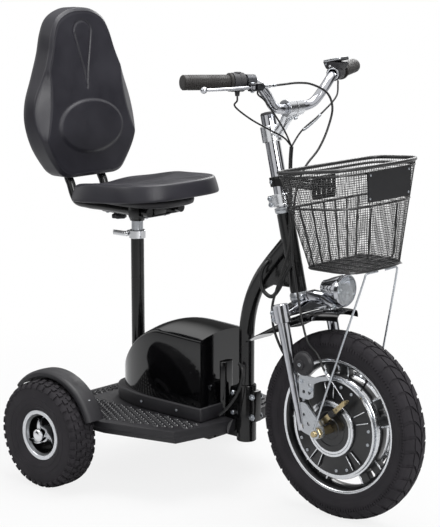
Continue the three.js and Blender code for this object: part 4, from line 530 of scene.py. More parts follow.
middle_rows = [-92, -84, -60, -35, -10, 20, 50, 90, 130, 170, 220, 270, 308, 315, 322, 338]
rings = []
for x in [deck_rear, *middle_rows, deck_front]:
    half = deck_half(x)
    end = 1.5 * (x in (deck_rear, deck_front))
    line = []
    for k in range(25):
        y = (k / 12 - 1) * (half - 5)
        line.append(at(x, y, deck_height(x, y) - end))
    edge = deck_height(x, half)
    sides = [(half - 1.4, edge - 1.4 - end), (half, edge - 5), (half, edge - 15), (half - 1, 154),
             (half - 4, 151), (half - 6, deck_under)]
    rings.append([at(x, -y, z) for y, z in reversed(sides)] + line + [at(x, y, z) for y, z in sides])
shape = loft(rings, capped=False, closed=False)
for x in (deck_rear, deck_front):
    rim = [e for e in shape.edges
           if e.is_boundary and all(abs(v.co.x - row_x(x)) < 0.01 for v in e.verts)]
    down = bmesh.ops.extrude_edge_only(shape, edges=rim)["geom"]
    for corner in [g for g in down if isinstance(g, bmesh.types.BMVert)]:
        corner.co.z = min(corner.co.z, deck_under)
bmesh.ops.remove_doubles(shape, verts=shape.verts, dist=0.01)
bmesh.ops.recalc_face_normals(shape, faces=shape.faces)
bmesh.ops.solidify(shape, geom=shape.faces[:], thickness=3.5)
solids = [(shape, moulded_pp)]
# The bars' tops: smoother and shinier than the deck, and a little greyer as a painted highlight, so that each
# catches the light.
bars_painted_highlight, tree, shader, spot = finish("tread_bars_painted_highlight", "#28282b", 0.26, specular_ior_level=0.8)
scuffs = add(tree, "TexNoise", {"Vector": spot, "Scale": 1000 / 6, "Detail": 4})
relief(tree, shader, scuffs.outputs[0], 0.12, 0.1)
bars = bmesh.new()
pitch, lean = 17, radians(40)
squeezed = Matrix.Rotation(lean, 4, "Z") @ Matrix.Diagonal((1, 0.72, 1, 1))
for row in range(-7, 21):
    for step in range(-14, 15):
        x, y = 20 + row * pitch * 0.9, step * pitch + (row % 2) * pitch / 2
        off_the_deck = abs(y) > deck_half(x) - 24 or x > 312 or x < -78
        under_cover = abs(y) < 103 and x > -42
        in_a_corner = (x > 290 and abs(y) > 150) or (x < 40 and abs(y) > 208)
        if off_the_deck or under_cover or in_a_corner:
            continue
        bar_place = Matrix.Translation(at(x, y, deck_height(x, y) + 1.3)) @ squeezed
        bmesh.ops.create_cone(bars, cap_ends=True, segments=8, radius1=7.8, radius2=5.6, depth=4.2,
                              matrix=bar_place)
solids.append((bars, bars_painted_highlight))
piece("deck_platform", solids, "chassis", ["deck"])


# FENDERS
# A moulded arch over the inner half of each rear wheel, in the deck's own polypropylene. Its
# outer lip is rolled, and a screw at the front holds it.
def swept_ring(section, centre, side, start, end, steps):
    """A section of [depth, radius] pairs swept round an axle, from one angle to another."""
    shape = bmesh.new()
    face = shape.faces.new([shape.verts.new((r, side * y, 0)) for y, r in section])
    angle = radians(end - start)
    bmesh.ops.spin(shape, geom=[face, *face.edges, *face.verts], cent=(0, 0, 0), axis=(0, -1, 0),
                   dvec=(0, 0, 0), angle=angle, steps=steps, use_merge=False, use_duplicate=False)
    bmesh.ops.recalc_face_normals(shape, faces=shape.faces)
    return moved(shape, Matrix.Translation(centre) @ Matrix.Rotation(-radians(start), 4, "Y"))


for name, side in (("right", -1), ("left", 1)):
    section = rounded([(237.8, 147), (243, 149.6), (262, 150.6), (281, 149.4), (288, 145), (288, 134.5),
                       (285.6, 134.5), (284.4, 143), (278, 145.6), (246, 145.8), (241.6, 143.5),
                       (241.6, 102), (237.8, 102)], 4, 3)
    shape = swept_ring(section, at(0, 0, axle_height), side, 20, 138, 60)
    screw = bolt(at(114, side * 262, 224), (0.62, 0, 0.78), 3.2, 1.6)
    solids = [(eased(shape, 0.6, 1, 50), moulded_pp), (screw, bolt_zinc)]
    piece(f"fender_shell_{name}", solids, "chassis", [f"fender_{name}"])


# BATTERY COVER
# A deep dome of glossy moulded ABS over the battery, rounded at the back and upright in front,
# with a satin base skirt held by small screws. Under it are the shrink-wrapped cells and the
# finned controller.

# Polished ABS: a deep black mirror, wavered by 70 mm flow ripples and dulled by 35 mm wipe marks.
gloss_abs, tree, shader, spot = finish("gloss_black_abs", "#050506", 0.07, coat_weight=0.35,
                                       coat_roughness=0.03, specular_ior_level=0.35)
swirl = add(tree, "TexNoise", {"Vector": spot, "Scale": 1000 / 35, "Detail": 5})
wiped = add(tree, "MapRange", {"Value": swirl.outputs[0], 1: 0.35, 2: 0.7, 3: 0.05, 4: 0.12})
tree.links.new(wiped.outputs[0], shader.inputs["Roughness"])
ripple = add(tree, "TexNoise", {"Vector": spot, "Scale": 1000 / 70, "Detail": 1})
relief(tree, shader, ripple.outputs[0], 0.3, 0.35)


def squircle(angle, a, b, power):
    """A place on an oval of two half-widths that grows squarer with its power."""
    c, s = cos(angle), sin(angle)
    reach = (abs(c) ** power + abs(s) ** power) ** (-1 / power)
    return a * reach * c, b * reach * s


floor_z, skirt = 170.3, 34
cover_rear, cover_front, cover_half, cover_tall = -8, 308, 90, 164
quarter = [pi * i / 12 for i in range(7)]
rings = []
for k in range(41):
    x = cover_rear + (cover_front - cover_rear) * (k / 40) ** 1.6
    half = cover_half * max(0.012, 1 - max(0, 1 - (x + 8.3) / 183) ** 2) ** 0.5
    rise = 1 - max(0, 1 - (x - cover_rear) / 178) ** 1.7
    high = cover_tall * (0.15 + 0.85 * rise) - 4 * smooth((x - 170) / 138)
    ease = min(5, half * 0.3)
    line = [(half, -skirt), (half, 0), (half, high * 0.45), (half, high * 0.85)]
    line += [(half - ease * (1 - cos(a)), high - ease * (1 - sin(a))) for a in quarter]
    line += [((half - ease) * (1 - i / 9), high) for i in range(1, 10)]
    line = [(y, z + 13.5 * (1 - (y / half) ** 2) * min(1, high / 120)) for y, z in line]
    line = [(-y, z) for y, z in line] + [(y, z) for y, z in reversed(line[:-1])]
    rings.append([at(x, y, floor_z + skirt + z) for y, z in line])
shape = loft(rings)
front = [e for e in shape.edges
         if all(abs(v.co.x - row_x(cover_front)) < 0.01 for v in e.verts)
         and e.calc_face_angle(0) > 0.5 and min(v.co.z for v in e.verts) > floor_z + 1]
bmesh.ops.bevel(shape, geom=front, offset=4.5, offset_type="OFFSET", segments=5, profile=0.5,
                affect="EDGES", clamp_overlap=True, material=-1)
solids = [(shape, gloss_abs)]
hem_half, hem_middle = 94.5, 168
round_end = [squircle(pi / 2 + pi * i / 40, 194.5, hem_half, 2.2) for i in range(41)]
outline = [(312.5, -hem_half), (312.5, hem_half)] + [(hem_middle + x, y) for x, y in round_end]
hem = slab(laid_out(outline), floor_z, floor_z + skirt, "XY")
solids.append((eased(hem, 4, 3, 60), moulded_pp))
rib = rounded(laid_out([(306, -22), (318, -13), (318, 13), (306, 22)]), 5)
solids.append((eased(slab(rib, floor_z, floor_z + 132, "XY"), 5, 3, 50), gloss_abs))
for x in (120, 235):
    for side in (-1, 1):
        solids.append((bolt(at(x, side * 94.3, floor_z + 17), (0, side, 0), 3.4, 1.6), bolt_zinc))
piece("battery_cover_dome", solids, "chassis", ["battery_cover"])

# Heat-shrunk PVC: a blue skin with a soft shine, ridged where the 18 mm cells press through.
cell_wrap, tree, shader, spot = finish("shrink_wrap_pvc", "#2c4a70", 0.35, coat_weight=0.3)
cells = add(tree, "TexWave", {"Vector": spot, "Scale": 1000 / 18 / 6.28 * 2, "Distortion": 0.4})
relief(tree, shader, cells.outputs[0], 0.5, 1)
# Sand-cast aluminium: mid grey and satin, with a grain of 1.5 mm.
finned_alloy, tree, shader, spot = finish("cast_alloy_box", "#9c9fa3", 0.4, 1.0)
cast = add(tree, "TexNoise", {"Vector": spot, "Scale": 1000 / 1.5, "Detail": 2})
relief(tree, shader, cast.outputs[0], 0.3, 0.1)
for node, material in (("battery_pack", cell_wrap), ("motor_controller", finned_alloy)):
    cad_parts[node].data.materials.clear()
    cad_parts[node].data.materials.append(material)


# REAR WHEELS
# Pneumatic tyres with square shoulder blocks and zigzag grooves, on cast rims with three curved
# arms, and chromed caps over the axle nuts. Natural rubber with carbon black; painted alloy.

# Tyre rubber: dull and near black, with 1.2 mm pores, and greyer with dust in 45 mm patches.
tyre_rubber, tree, shader, spot = finish("tyre_rubber", "#17171a", 0.78, specular_ior_level=0.35)
pores = add(tree, "TexNoise", {"Vector": spot, "Scale": 1000 / 1.2, "Detail": 3})
dust = add(tree, "TexNoise", {"Vector": spot, "Scale": 1000 / 45, "Detail": 5})
dusted = add(tree, "Mix", {0: dust.outputs[0], 6: linear("#18161a"), 7: linear("#2c292d")}, data_type="RGBA")
tree.links.new(dusted.outputs[2], shader.inputs["Base Color"])
relief(tree, shader, pores.outputs[0], 0.3, 0.1)
# Silver paint under a clear coat: bright, with a soft sparkle from flakes drawn at 0.9 mm.
cast_silver, tree, shader, spot = finish("silver_painted_alloy", "#d4d6d9", 0.3, 0.85, coat_weight=0.4)
flake = add(tree, "TexNoise", {"Vector": spot, "Scale": 1000 / 0.9, "Detail": 2})
relief(tree, shader, flake.outputs[0], 0.12, 0.04)
# Chrome plate: a near mirror, blurred here and there by smears 22 mm wide.
chrome, tree, shader, spot = finish("chrome_plate", "#e2e3e5", 0.07, 1.0)
smear = add(tree, "TexNoise", {"Vector": spot, "Scale": 1000 / 22, "Detail": 5})
smeared = add(tree, "MapRange", {"Value": smear.outputs[0], 1: 0.35, 2: 0.75, 3: 0.05, 4: 0.14})
tree.links.new(smeared.outputs[0], shader.inputs["Roughness"])


def about_y(x, y, z):
    """Lays a shape spun about Z along the axle through a place."""
    return Matrix.Translation(at(x, y, z)) @ Matrix.Rotation(radians(-90), 4, "X")


def facing(side):
    """Leaves a shape as it is for one side of a wheel, and turns it round for the other."""
    return Matrix.Identity(4) if side > 0 else Matrix.Rotation(pi, 4, "X")


def tread(blocks, reach, crown, lift, count, cuts):
    """Blocks drawn flat as [along, across] outlines, cut, wrapped round a tyre and repeated."""
    one = bmesh.new()
    for outline in blocks:
        for side in (-1, 1):
            shift = pi * reach / count if side < 0 else 0
            flat = slab([(s + shift, side * y) for s, y in outline], -2.5, lift, "XY")
            for y in cuts:
                geom = flat.verts[:] + flat.edges[:] + flat.faces[:]
                bmesh.ops.bisect_plane(flat, geom=geom, plane_co=(0, side * y, 0),
                                       plane_no=(0, 1, 0), dist=0.001)
            part = bpy.data.meshes.new("block")
            flat.to_mesh(part)
            flat.free()
            one.from_mesh(part)
            bpy.data.meshes.remove(part)
    for corner in one.verts:
        s, y, h = corner.co
        radius, dip = crown(abs(y))
        radius += h
        outward = 1 if y > 0 else -1
        corner.co = (radius * cos(s / reach), radius * sin(s / reach), outward * (abs(y) + dip * h))
    bmesh.ops.spin(one, geom=one.verts[:] + one.edges[:] + one.faces[:], cent=(0, 0, 0), axis=(0, 0, 1),
                   dvec=(0, 0, 0), angle=2 * pi * (count - 1) / count, steps=count - 1, use_merge=False,
                   use_duplicate=True)
    bmesh.ops.recalc_face_normals(one, faces=one.faces)
    return one


def rear_crown(y):
    """The tyre's radius under its tread, by distance from the middle, and how far blocks lean out."""
    return (124.6 - 5 * (y / 36) ** 4 - max(0, y - 30) * 0.9, 0.6 * (y > 30))


wheel_y = 286
for name, side in (("right", -1), ("left", 1)):
    place = about_y(0, side * wheel_y, axle_height)
    half_casing = [(52.6, 19.4), (60.3, 26.6), (63, 31), (70, 36), (84, 39.3), (95, 39.6), (108, 38),
                   (117, 35), (121.5, 30), (124.2, 21), (124.6, 8)]
    casing = [(r, -y) for r, y in half_casing] + half_casing[::-1]
    ribs = []
    for r, y in ((74, 37.2), (88, 39.4)):
        for s in (-1, 1):
            ribs.append(turned([(r, s * (y - 0.6)), (r + 1.6, s * (y + 0.9)), (r + 3.2, s * (y - 0.4))], 72))
    blocks = [[(1, 2), (10, 2), (13, 8), (13, 14), (3, 14), (3, 8)],
              [(8, 16), (18, 16), (18, 27), (6, 27)],
              [(1, 29.5), (12.5, 29.5), (12.5, 37.2), (1, 37.2)]]
    knobs = tread(blocks, reach=124, crown=rear_crown, lift=3.8, count=36, cuts=(6, 11, 21, 25, 33, 35.5))
    solids = [(moved(shape, place), tyre_rubber) for shape in (turned(casing, 72), knobs, *ribs)]
    piece(f"rear_tyre_tread_{name}", solids, f"rear_wheel_{name}", [f"rear_tyre_{name}"], 40)

    half_barrel = [(52, 19.6), (54, 22), (60.3, 26.6), (60.3, 28.6), (59.4, 29.6), (51.2, 29.6),
                   (50, 28.4), (50, 25), (47, 21)]
    barrel = turned([(r, -y) for r, y in half_barrel[::-1]] + half_barrel, 72)
    # A black sleeve inside the barrel and a black disc across the rim's inner side are painted shade: they
    # darken the space behind the arms and keep the floor from showing through.
    sleeve = turned([(45.4, -20.6), (46.9, -20.6), (46.9, 20.6), (45.4, 20.6)], 72)
    painted_shade_disc = turned([(18.8, -side * 17), (46.2, -side * 17), (46.2, -side * 15.4),
                         (18.8, -side * 15.4)], 72)
    hub = eased(turned([(9, -21), (19, -21), (19, 21), (9, 21)], 40), 1.2, 2, 50)
    solids = [(barrel, cast_silver), (hub, cast_silver), (sleeve, powder_coat), (painted_shade_disc, powder_coat)]
    for k in range(3):
        arm = []
        for i in range(11):
            t = i / 10
            r, a = 15 + 34 * t, radians(44) * t ** 1.4
            arm.append((r * cos(a - 0.1), r * sin(a - 0.1), 7.5 - 2.5 * t + 4 * max(0, t - 0.75) * 4))
        edge = [(x + w * 0.55 * sin(0.5), y + w) for x, y, w in arm]
        edge += [(x - w * 0.35, y - w) for x, y, w in reversed(arm)]
        blade = eased(slab(edge, side * 19 - 4, side * 19 + 4, "XY"), 2.2, 3, 50)
        solids.append((moved(blade, Matrix.Rotation(2 * pi * k / 3, 4, "Z")), cast_silver))
    solids = [(moved(s, place), m) for s, m in solids]
    piece(f"rear_rim_cast_{name}", solids, f"rear_wheel_{name}", [f"rear_rim_{name}"], 40)
    cap = turned([(8.9, 21.3), (15.2, 21.3), (16, 22.2), (16, 32), (15, 36), (11.5, 39), (6, 40.2),
                  (0, 40.4), (0, 37), (8.9, 34)], 40)
    solids = [(moved(cap, place @ facing(side)), chrome)]
    piece(f"rear_cap_{name}", solids, f"rear_wheel_{name}", [f"rear_hub_cap_{name}"])


# SEAT POST
# The fixed outer tube stands in the deck's cross member, with two drilled pin holes near its top.
# A split steel collar, chrome plated, is drawn tight on it by a cam lever.

# Painted shade for a drilled hole: a black disc where the hole's dark inside would be, that throws nothing
# back.
hole_painted_shade = finish("hole_painted_shadow", "#020202", 0.8)[0]
post_x = 18
post_at = Matrix.Translation(at(post_x, 0, 0))
outer = turned([(14.3, 165.8), (16, 165.8), (16, 578.6), (14.9, 580), (14.3, 580)], 48)
solids = [(moved(outer, post_at), powder_coat)]
# Each pin hole is a raised ring round a black disc of painted shade.
for z in (460, 505):
    ring = turned([(3.4, 15.2), (4.6, 15.4), (4.1, 16.05), (3.4, 15.7)], 20)
    solids.append((moved(ring, aim((1, 0, 0), at(post_x, 0, z))), powder_coat))
    solids.append((rod(at(post_x + 14.5, 0, z), at(post_x + 15.8, 0, z), 3.45, sides=20), hole_painted_shade))
piece("seat_post_tube", solids, "chassis", ["seat_post_outer"])

low, high, middle = 561, 581, 571
band = turned([(16.3, low), (19, low), (20, low + 1), (20, high - 1), (19, high), (16.3, high)], 48)
solids = [(moved(band, post_at), chrome)]
for side in (-1, 1):
    lug = [(post_x - back, side * y) for back, y in ((14, 1.5), (28, 1.5), (28, 9), (16, 9))]
    lug = rounded(laid_out(lug), 2)
    solids.append((eased(slab(lug, middle - 7, middle + 7, "XY"), 1, 2, 50), chrome))
solids.append((bolt(at(post_x - 22.5, 9, middle), (0, 1, 0), 5, 5, socket=False), bolt_zinc))
piece("seat_collar_split", solids, "chassis", ["seat_collar"])

pivot_x, pivot_y = post_x - 23.5, -17.3
blade = [(2, -7.6), (-12, -7.4), (-34, -7.9), (-40, -4), (-38.5, -0.5), (-33, 0.6), (-12, 2.6), (0, 5.5)]
blade = rounded(laid_out([(pivot_x + x, pivot_y + y) for x, y in blade]), 4)
cam = rod(at(pivot_x, pivot_y, middle - 5.5), at(pivot_x, pivot_y, middle + 5.5), 8, width=1.2)
solids = [(eased(slab(blade, middle - 5.4, middle + 5.4, "XY"), 1.8, 3, 50), chrome), (cam, chrome)]
piece("release_cam_lever", solids, "release_lever", ["quick_release_lever"])


# SEAT BRACKET
# A pressed plate on the inner post, with a box channel along its middle and bored ears on both
# sides, in which the backrest's two rails slide. Welded steel, powder coated.
def oblong(left, low, right, high):
    """The outline of a rectangle."""
    return [(left, low), (right, low), (right, high), (left, high)]


inner = turned([(11.5, 330), (14, 330), (14, 626), (11.5, 626)], 48)
solids = [(moved(inner, post_at), satin_steel)]
plate_rear, plate_front = post_x - 86, post_x + 78
plate = rounded(laid_out(oblong(plate_rear, -42, plate_front, 42)), 14)
solids.append((eased(slab(plate, 623, 628, "XY"), 1.2), powder_coat))
solids.append((block(at(plate_rear, -21, 627), at(plate_front, 21, 650.4), 3), powder_coat))
rail_y, rail_z = 55, 639.3
for side in (-1, 1):
    for x in (40, 74):
        start, end = sorted((x, x - 5 * (1 if x > 50 else -1)))
        ear = rounded(oblong(side * 20, 624, side * 70, 650), 5)
        bore = circle(11.4, side * rail_y, rail_z)
        solids.append((slab(ear, row_x(post_x + start), row_x(post_x + end), "YZ", [bore]), powder_coat))
    end_plate = block(at(post_x + 40, side * 70.2, 624), at(post_x + 74, side * 66.8, 650), 1.2)
    solids.append((end_plate, powder_coat))
    for x in (-70, 12, 62):
        solids.append((bolt(at(post_x + x, side * 31, 623), (0, 0, -1), 5, 3.5, socket=False), bolt_zinc))
gusset_ring = turned([(14.2, 604.5), (17.5, 604.5), (24, 623), (14.2, 623)], 40)
solids.append((moved(gusset_ring, post_at), powder_coat))
piece("seat_bracket_welded", solids, "seat", ["seat_bracket"])


# SEAT CUSHION
# One moulding of integral-skin polyurethane foam on a black plastic pan: dished behind, swelling
# to a waterfall nose, drawn in below. The skin is black, finely grained and slightly greasy.

# The foam's skin: black, with a soft greasy shine in 90 mm patches, a 1.8 mm leather grain and
# 5 mm crinkles.
foam_skin, tree, shader, spot = finish("integral_skin_foam", "#161619", 0.45, specular_ior_level=0.45)
grain = add(tree, "TexVoronoi", {"Vector": spot, "Scale": 1000 / 1.8}, feature="SMOOTH_F1")
crinkle = add(tree, "TexNoise", {"Vector": spot, "Scale": 1000 / 5, "Detail": 3})
mixed = add(tree, "Mix", {0: 0.4, 2: grain.outputs["Distance"], 3: crinkle.outputs[0]})
sheen = add(tree, "TexNoise", {"Vector": spot, "Scale": 1000 / 90, "Detail": 4})
polished = add(tree, "MapRange", {"Value": sheen.outputs[0], 1: 0.3, 2: 0.7, 3: 0.34, 4: 0.52})
tone = add(tree, "Mix", {0: sheen.outputs[0], 6: linear("#16151b"), 7: linear("#24232b")}, data_type="RGBA")
tree.links.new(tone.outputs[2], shader.inputs["Base Color"])
tree.links.new(polished.outputs[0], shader.inputs["Roughness"])
relief(tree, shader, mixed.outputs[0], 0.4, 0.25)

seat_x, seat_a, seat_b = 46, 160, 157


def seat_floor(x):
    """The height of the cushion's lower edge, which rises towards the nose."""
    return 654 + 13 * (x / seat_a + 1)


def seat_rim(x, y):
    """The height of the top edge: level behind, higher beside the thighs and at the nose."""
    ahead = x / seat_a
    tail = smooth((-ahead - 0.55) / 0.4) * (1 - smooth(abs(y) / 110))
    return 694 + 17 * smooth((ahead + 0.85) / 0.8) + 7 * smooth(ahead + 0.1) - 10 * tail


# Up the side of the cushion: how far in its skin lies, and at what share of the way to the top.
side_shape = [(26, 0), (12, 0), (3.4, 0), (0.6, 0.03), (0, 0.1), (1.4, 0.3), (4, 0.56), (7, 0.8), (9, 0.92),
              (12, 0.98), (18, 1), (24, 1)]
levels = through([(inset, share, 0) for inset, share in side_shape], 3)
rings = []
for inset, share, _ in levels:
    ring = []
    for k in range(96):
        x, y = squircle(2 * pi * k / 96, seat_a - max(0, inset), seat_b - max(0, inset), 3)
        low, high = seat_floor(x), seat_rim(x, y)
        ring.append(at(seat_x + x, y, low + (high - low) * share))
    rings.append(ring)
rim_ring = rings[-1]
for share in [1 - 0.055 * k for k in range(1, 18)]:
    ring = []
    for place in rim_ring:
        x = (place.x + axle_to_origin - seat_x) * share
        y = place.y * share
        bowl = 13 * (1 - share * share) * (1 - smooth((x / seat_a - 0.1) / 0.8))
        ridge = 3.4 * (1 - smooth(abs(y) / 34)) * smooth((x + 20) / 80) * (1 - share)
        ring.append(at(seat_x + x, y, min(721.6, seat_rim(x, y) - bowl + ridge)))
    rings.append(ring)
shape = loft(rings)
pan_rings, pan_low = [], 651
for inset, share in ((8, 0), (2, 0.1), (0, 0.5), (0, 1)):
    pan_ring = [squircle(2 * pi * k / 64, 118 - inset, 92 - inset, 3) for k in range(64)]
    pan_rings.append([at(seat_x + x, y, pan_low + (seat_floor(x) + 2 - pan_low) * share) for x, y in pan_ring])
solids = [(shape, foam_skin), (loft(pan_rings), moulded_pp)]
cushion = piece("seat_foam_cushion", solids, "seat", ["seat_cushion"], 180)
smoother = cushion.modifiers.new("smoother", "SUBSURF")
smoother.levels = smoother.render_levels = 1


# BACKREST
# Two bent steel tubes with a tie between them hold an egg-shaped foam moulding. Its front has a
# raised middle panel between two bolsters, with an oval pad for the small of the back.
back_foot, back_low, back_tall, back_lean = -183, 700.5, 410, 40


def back_tube(side):
    """The line of one tube: level along the bracket, then bent up behind the seat."""
    line = [(96, rail_z), (-68, rail_z), (-114, rail_z), (-154.25, 645.05), (-175.3, 685.3),
            (back_foot, 700), (-197.6, 850), (-212.3, 1000)]
    return [at(post_x + x, side * rail_y, z) for x, z in line]


solids = [(tube(through(back_tube(side)), 11, 5), powder_coat) for side in (-1, 1)]
tie_x = post_x + back_foot - 278 * (back_lean / back_tall)
tie = [at(tie_x, y, 978) for y in (-rail_y, rail_y)]
solids.append((rod(*tie, 5.5), powder_coat))
piece("backrest_tubes", solids, "backrest", ["backrest_frame"])

# The egg's outline: the share of its height, and the share of its half-width there.
back_shares = [(0, 0.44), (0.02, 0.6), (0.08, 0.74), (0.19, 0.905), (0.33, 0.995), (0.45, 0.965), (0.6, 0.81),
               (0.74, 0.67), (0.86, 0.58), (0.94, 0.47), (0.985, 0.28), (1, 0.1)]
back_half, back_middle = 167, 204.5
side_line = [Vector((back_half * wide, 2 * back_middle * (high - 0.5), 0)) for high, wide in back_shares]
across = [Vector((-side_line[end].x, side_line[end].y, 0)) for end in (0, -1)]
side_line = through([across[0], *side_line, across[1]], 12)[12:-12]
bottom, top = side_line[0], side_line[-1]
egg = [Vector((bottom.x * (k / 14 - 1), bottom.y, 0)) for k in range(1, 28)] + side_line
egg += [Vector((top.x * (1 - k / 3), top.y, 0)) for k in range(1, 6)]
egg += [Vector((-p.x, p.y, 0)) for p in reversed(side_line)]


def back_relief(y, h):
    """How far the panel stands proud at a place: the pad for the loins, less the drop-shaped seam."""
    pad = hypot(y / 104, (h - 123) / 63)
    proud = 4.5 * smooth((1.07 - pad) / 0.14)
    if h > 350:
        seam = abs(hypot(y, h - 350) - 29)
    else:
        seam = abs(abs(y) - 29 * smooth((h - 205) / 185) * 1.0826) if h > 216 else hypot(y, h - 216)
    return proud - 2.4 * smooth(1 - seam / 4.5)


def back_faces(h):
    """Where the back and the front panel lie at a height, ahead of the post."""
    middle, thick = back_foot - back_lean * h / back_tall, 70 - 24 * h / back_tall
    return middle - thick / 2, middle + thick / 2 + 9 * smooth(h / 120)


# Behind: from the middle out to the rim, and a share of the way forward.
rings = []
for share, deep in ((0.02, 0), (0.4, 0), (0.8, 0), (0.9, 0.01), (0.95, 0.04), (0.975, 0.09), (0.99, 0.16),
                    (1, 0.27), (1, 0.4)):
    ring = []
    for p in egg:
        h = back_middle + p.y * share
        behind, front = back_faces(h)
        ring.append(at(post_x + behind + (front - behind) * deep, p.x * share, back_low + h))
    rings.append(ring)
# In front: over the bolsters, from the rim in to the line where the middle panel begins.
for inward, lift in ((0, -14), (0, -7), (0, -3.5), (0.012, -1.6), (0.035, -0.5), (0.07, 0), (0.3, 0), (0.6, 0),
                     (0.86, 0), (0.94, -0.2), (1, -0.9)):
    ring = []
    for p in egg:
        line_h = back_middle + p.y * 0.955
        line_y = min(0.945 * abs(p.x), 119 + 0.0016 * (line_h - 235) ** 2)
        wide = abs(p.x) - line_y
        drop = (5 + 0.42 * wide) * (1 - inward)
        y = abs(p.x) - wide * inward
        h = back_middle + p.y * (1 - 0.045 * inward)
        ring.append(at(post_x + back_faces(h)[1] - drop + lift, y if p.x > 0 else -y, back_low + h))
    rings.append(ring)
# The panel itself, in to its middle.
panel_line = [(place.y, place.z - back_low - back_middle) for place in ring]
for share in [0.992, 0.982] + [0.97 - 0.0125 * k for k in range(77)]:
    ring = []
    for y, up in panel_line:
        y, h = y * share, back_middle + up * share
        edge_step = back_faces(h)[1] - 0.9 + 0.9 * smooth((1 - share) / 0.03)
        ring.append(at(post_x + edge_step + back_relief(y, h), y, back_low + h))
    rings.append(ring)
pad = piece("backrest_foam_panel", [(loft(rings), foam_skin)], "backrest", ["backrest_pad"], 180)

knob_x, star = post_x - 62, []
for a in [2 * pi * k / 60 for k in range(60)]:
    radius = 17 * (1 + 0.1 * cos(6 * a))
    star.append((row_x(knob_x) + radius * cos(a), radius * sin(a)))
solids = [(eased(slab(star, 602.8, 613.7, "XY"), 2.4, 3, 50), moulded_pp)]
solids.append((rod(at(knob_x, 0, 612), at(knob_x, 0, 622.6), 5), bolt_zinc))
piece("backrest_star_knob", solids, "knob", ["backrest_knob"])


# FORK
# A forged crown with its steerer, two split collars, and two tapered tubular blades that end in
# flat plates drilled for the axle. Steel: the plates are brushed, the rest polished and chromed.

# Polished chrome: a deeper, darker mirror than the caps have, with smears 18 mm wide.
deep_chrome, tree, shader, spot = finish("polished_chrome_plate", "#bcbec3", 0.06, 1.0)
smear = add(tree, "TexNoise", {"Vector": spot, "Scale": 1000 / 18, "Detail": 5})
smeared = add(tree, "MapRange", {"Value": smear.outputs[0], 1: 0.35, 2: 0.75, 3: 0.05, 4: 0.16})
tree.links.new(smeared.outputs[0], shader.inputs["Roughness"])
shade = add(tree, "Mix", {0: smear.outputs[0], 6: linear("#a9abb1"), 7: linear("#cccdd1")}, data_type="RGBA")
tree.links.new(shade.outputs[2], shader.inputs["Base Color"])

blade_y = 84
arch = [(-blade_y, -26), (-blade_y, -15)]
arch += [(-blade_y + 62 * t * (2 - t), -15 + 15 * (1 - (1 - t) ** 2)) for t in (0.15, 0.3, 0.45, 0.6, 0.8, 1)]
arch += [(-y, z) for y, z in reversed(arch)]
bridge = eased(slab(arch, -16, 28, "YZ"), 3.5, 3, 40)
solids = [(moved(bridge, fork), deep_chrome)]
profile = [(0, -26), (22, -26), (22, 0), (19, 2.6), (12.7, 2.7), (12.7, 270), (0, 270)]
solids.append((moved(turned(profile, 48), fork), deep_chrome))
for side in (-1, 1):
    collar = turned([(13.9, -38), (16.8, -38), (18, -36.8), (18, 1.5), (16, 4), (0, 4), (0, -2),
                     (13.9, -2)], 48)
    solids.append((moved(collar, fork @ Matrix.Translation((12, side * blade_y, 0))), deep_chrome))
    lugs = block((-12, side * blade_y - 8, -36), (-2, side * blade_y + 8, -4), 2)
    solids.append((moved(lugs, fork), deep_chrome))
    for z in (-28, -13):
        solids.append((moved(bolt((-7, side * blade_y - 8, z), (0, -1, 0), 4.6, 4.6), fork), bolt_zinc))
piece("fork_crown_forged", solids, "steering", ["fork_crown"])

for name, side in (("right", -1), ("left", 1)):
    leg = turned([(0, -279), (7.4, -279), (8.4, -277), (8.7, -262), (9.4, -235), (11, -180), (12.6, -115),
                  (13.5, -60), (13.5, -2.6), (0, -2.6)], 48)
    solids = [(moved(leg, fork @ Matrix.Translation((12, side * blade_y, 0))), deep_chrome)]
    plate = rounded([(8, -222), (24, -216), (38, -219), (68, -266), (76, -287), (70, -299), (50, -301.5),
                     (36, -294), (8, -279)], 9)
    holes = [circle(7.3, 61, -287), circle(4.4, 36.5, -266), circle(3.4, 27, -245), circle(3, 49, -279, 16)]
    end = slab(plate, side * blade_y - 2.5, side * blade_y + 2.5, "XZ", holes)
    solids.append((moved(end, fork), satin_steel))
    piece(f"fork_blade_tube_{name}", solids, "steering", [f"fork_blade_{name}"])


# FRONT AXLE
# A through axle turned from steel bar, with shoulders for the wheel, a washer and a hexagon nut on
# each end, and threads beyond them. Zinc plated and passivated yellow.

# Yellow passivated zinc: a pale straw metal that drifts to grey in clouds of 14 mm.
yellow_zinc, tree, shader, spot = finish("yellow_passivated_zinc", "#d9cfb2", 0.3, 1.0)
hue = add(tree, "TexNoise", {"Vector": spot, "Scale": 1000 / 14, "Detail": 4})
rainbow = add(tree, "Mix", {0: hue.outputs[0], 6: linear("#a89d84"), 7: linear("#c2ad7c")}, data_type="RGBA")
tree.links.new(rainbow.outputs[2], shader.inputs["Base Color"])
cloudy = add(tree, "MapRange", {"Value": hue.outputs[0], 1: 0.3, 2: 0.7, 3: 0.22, 4: 0.4})
tree.links.new(cloudy.outputs[0], shader.inputs["Roughness"])

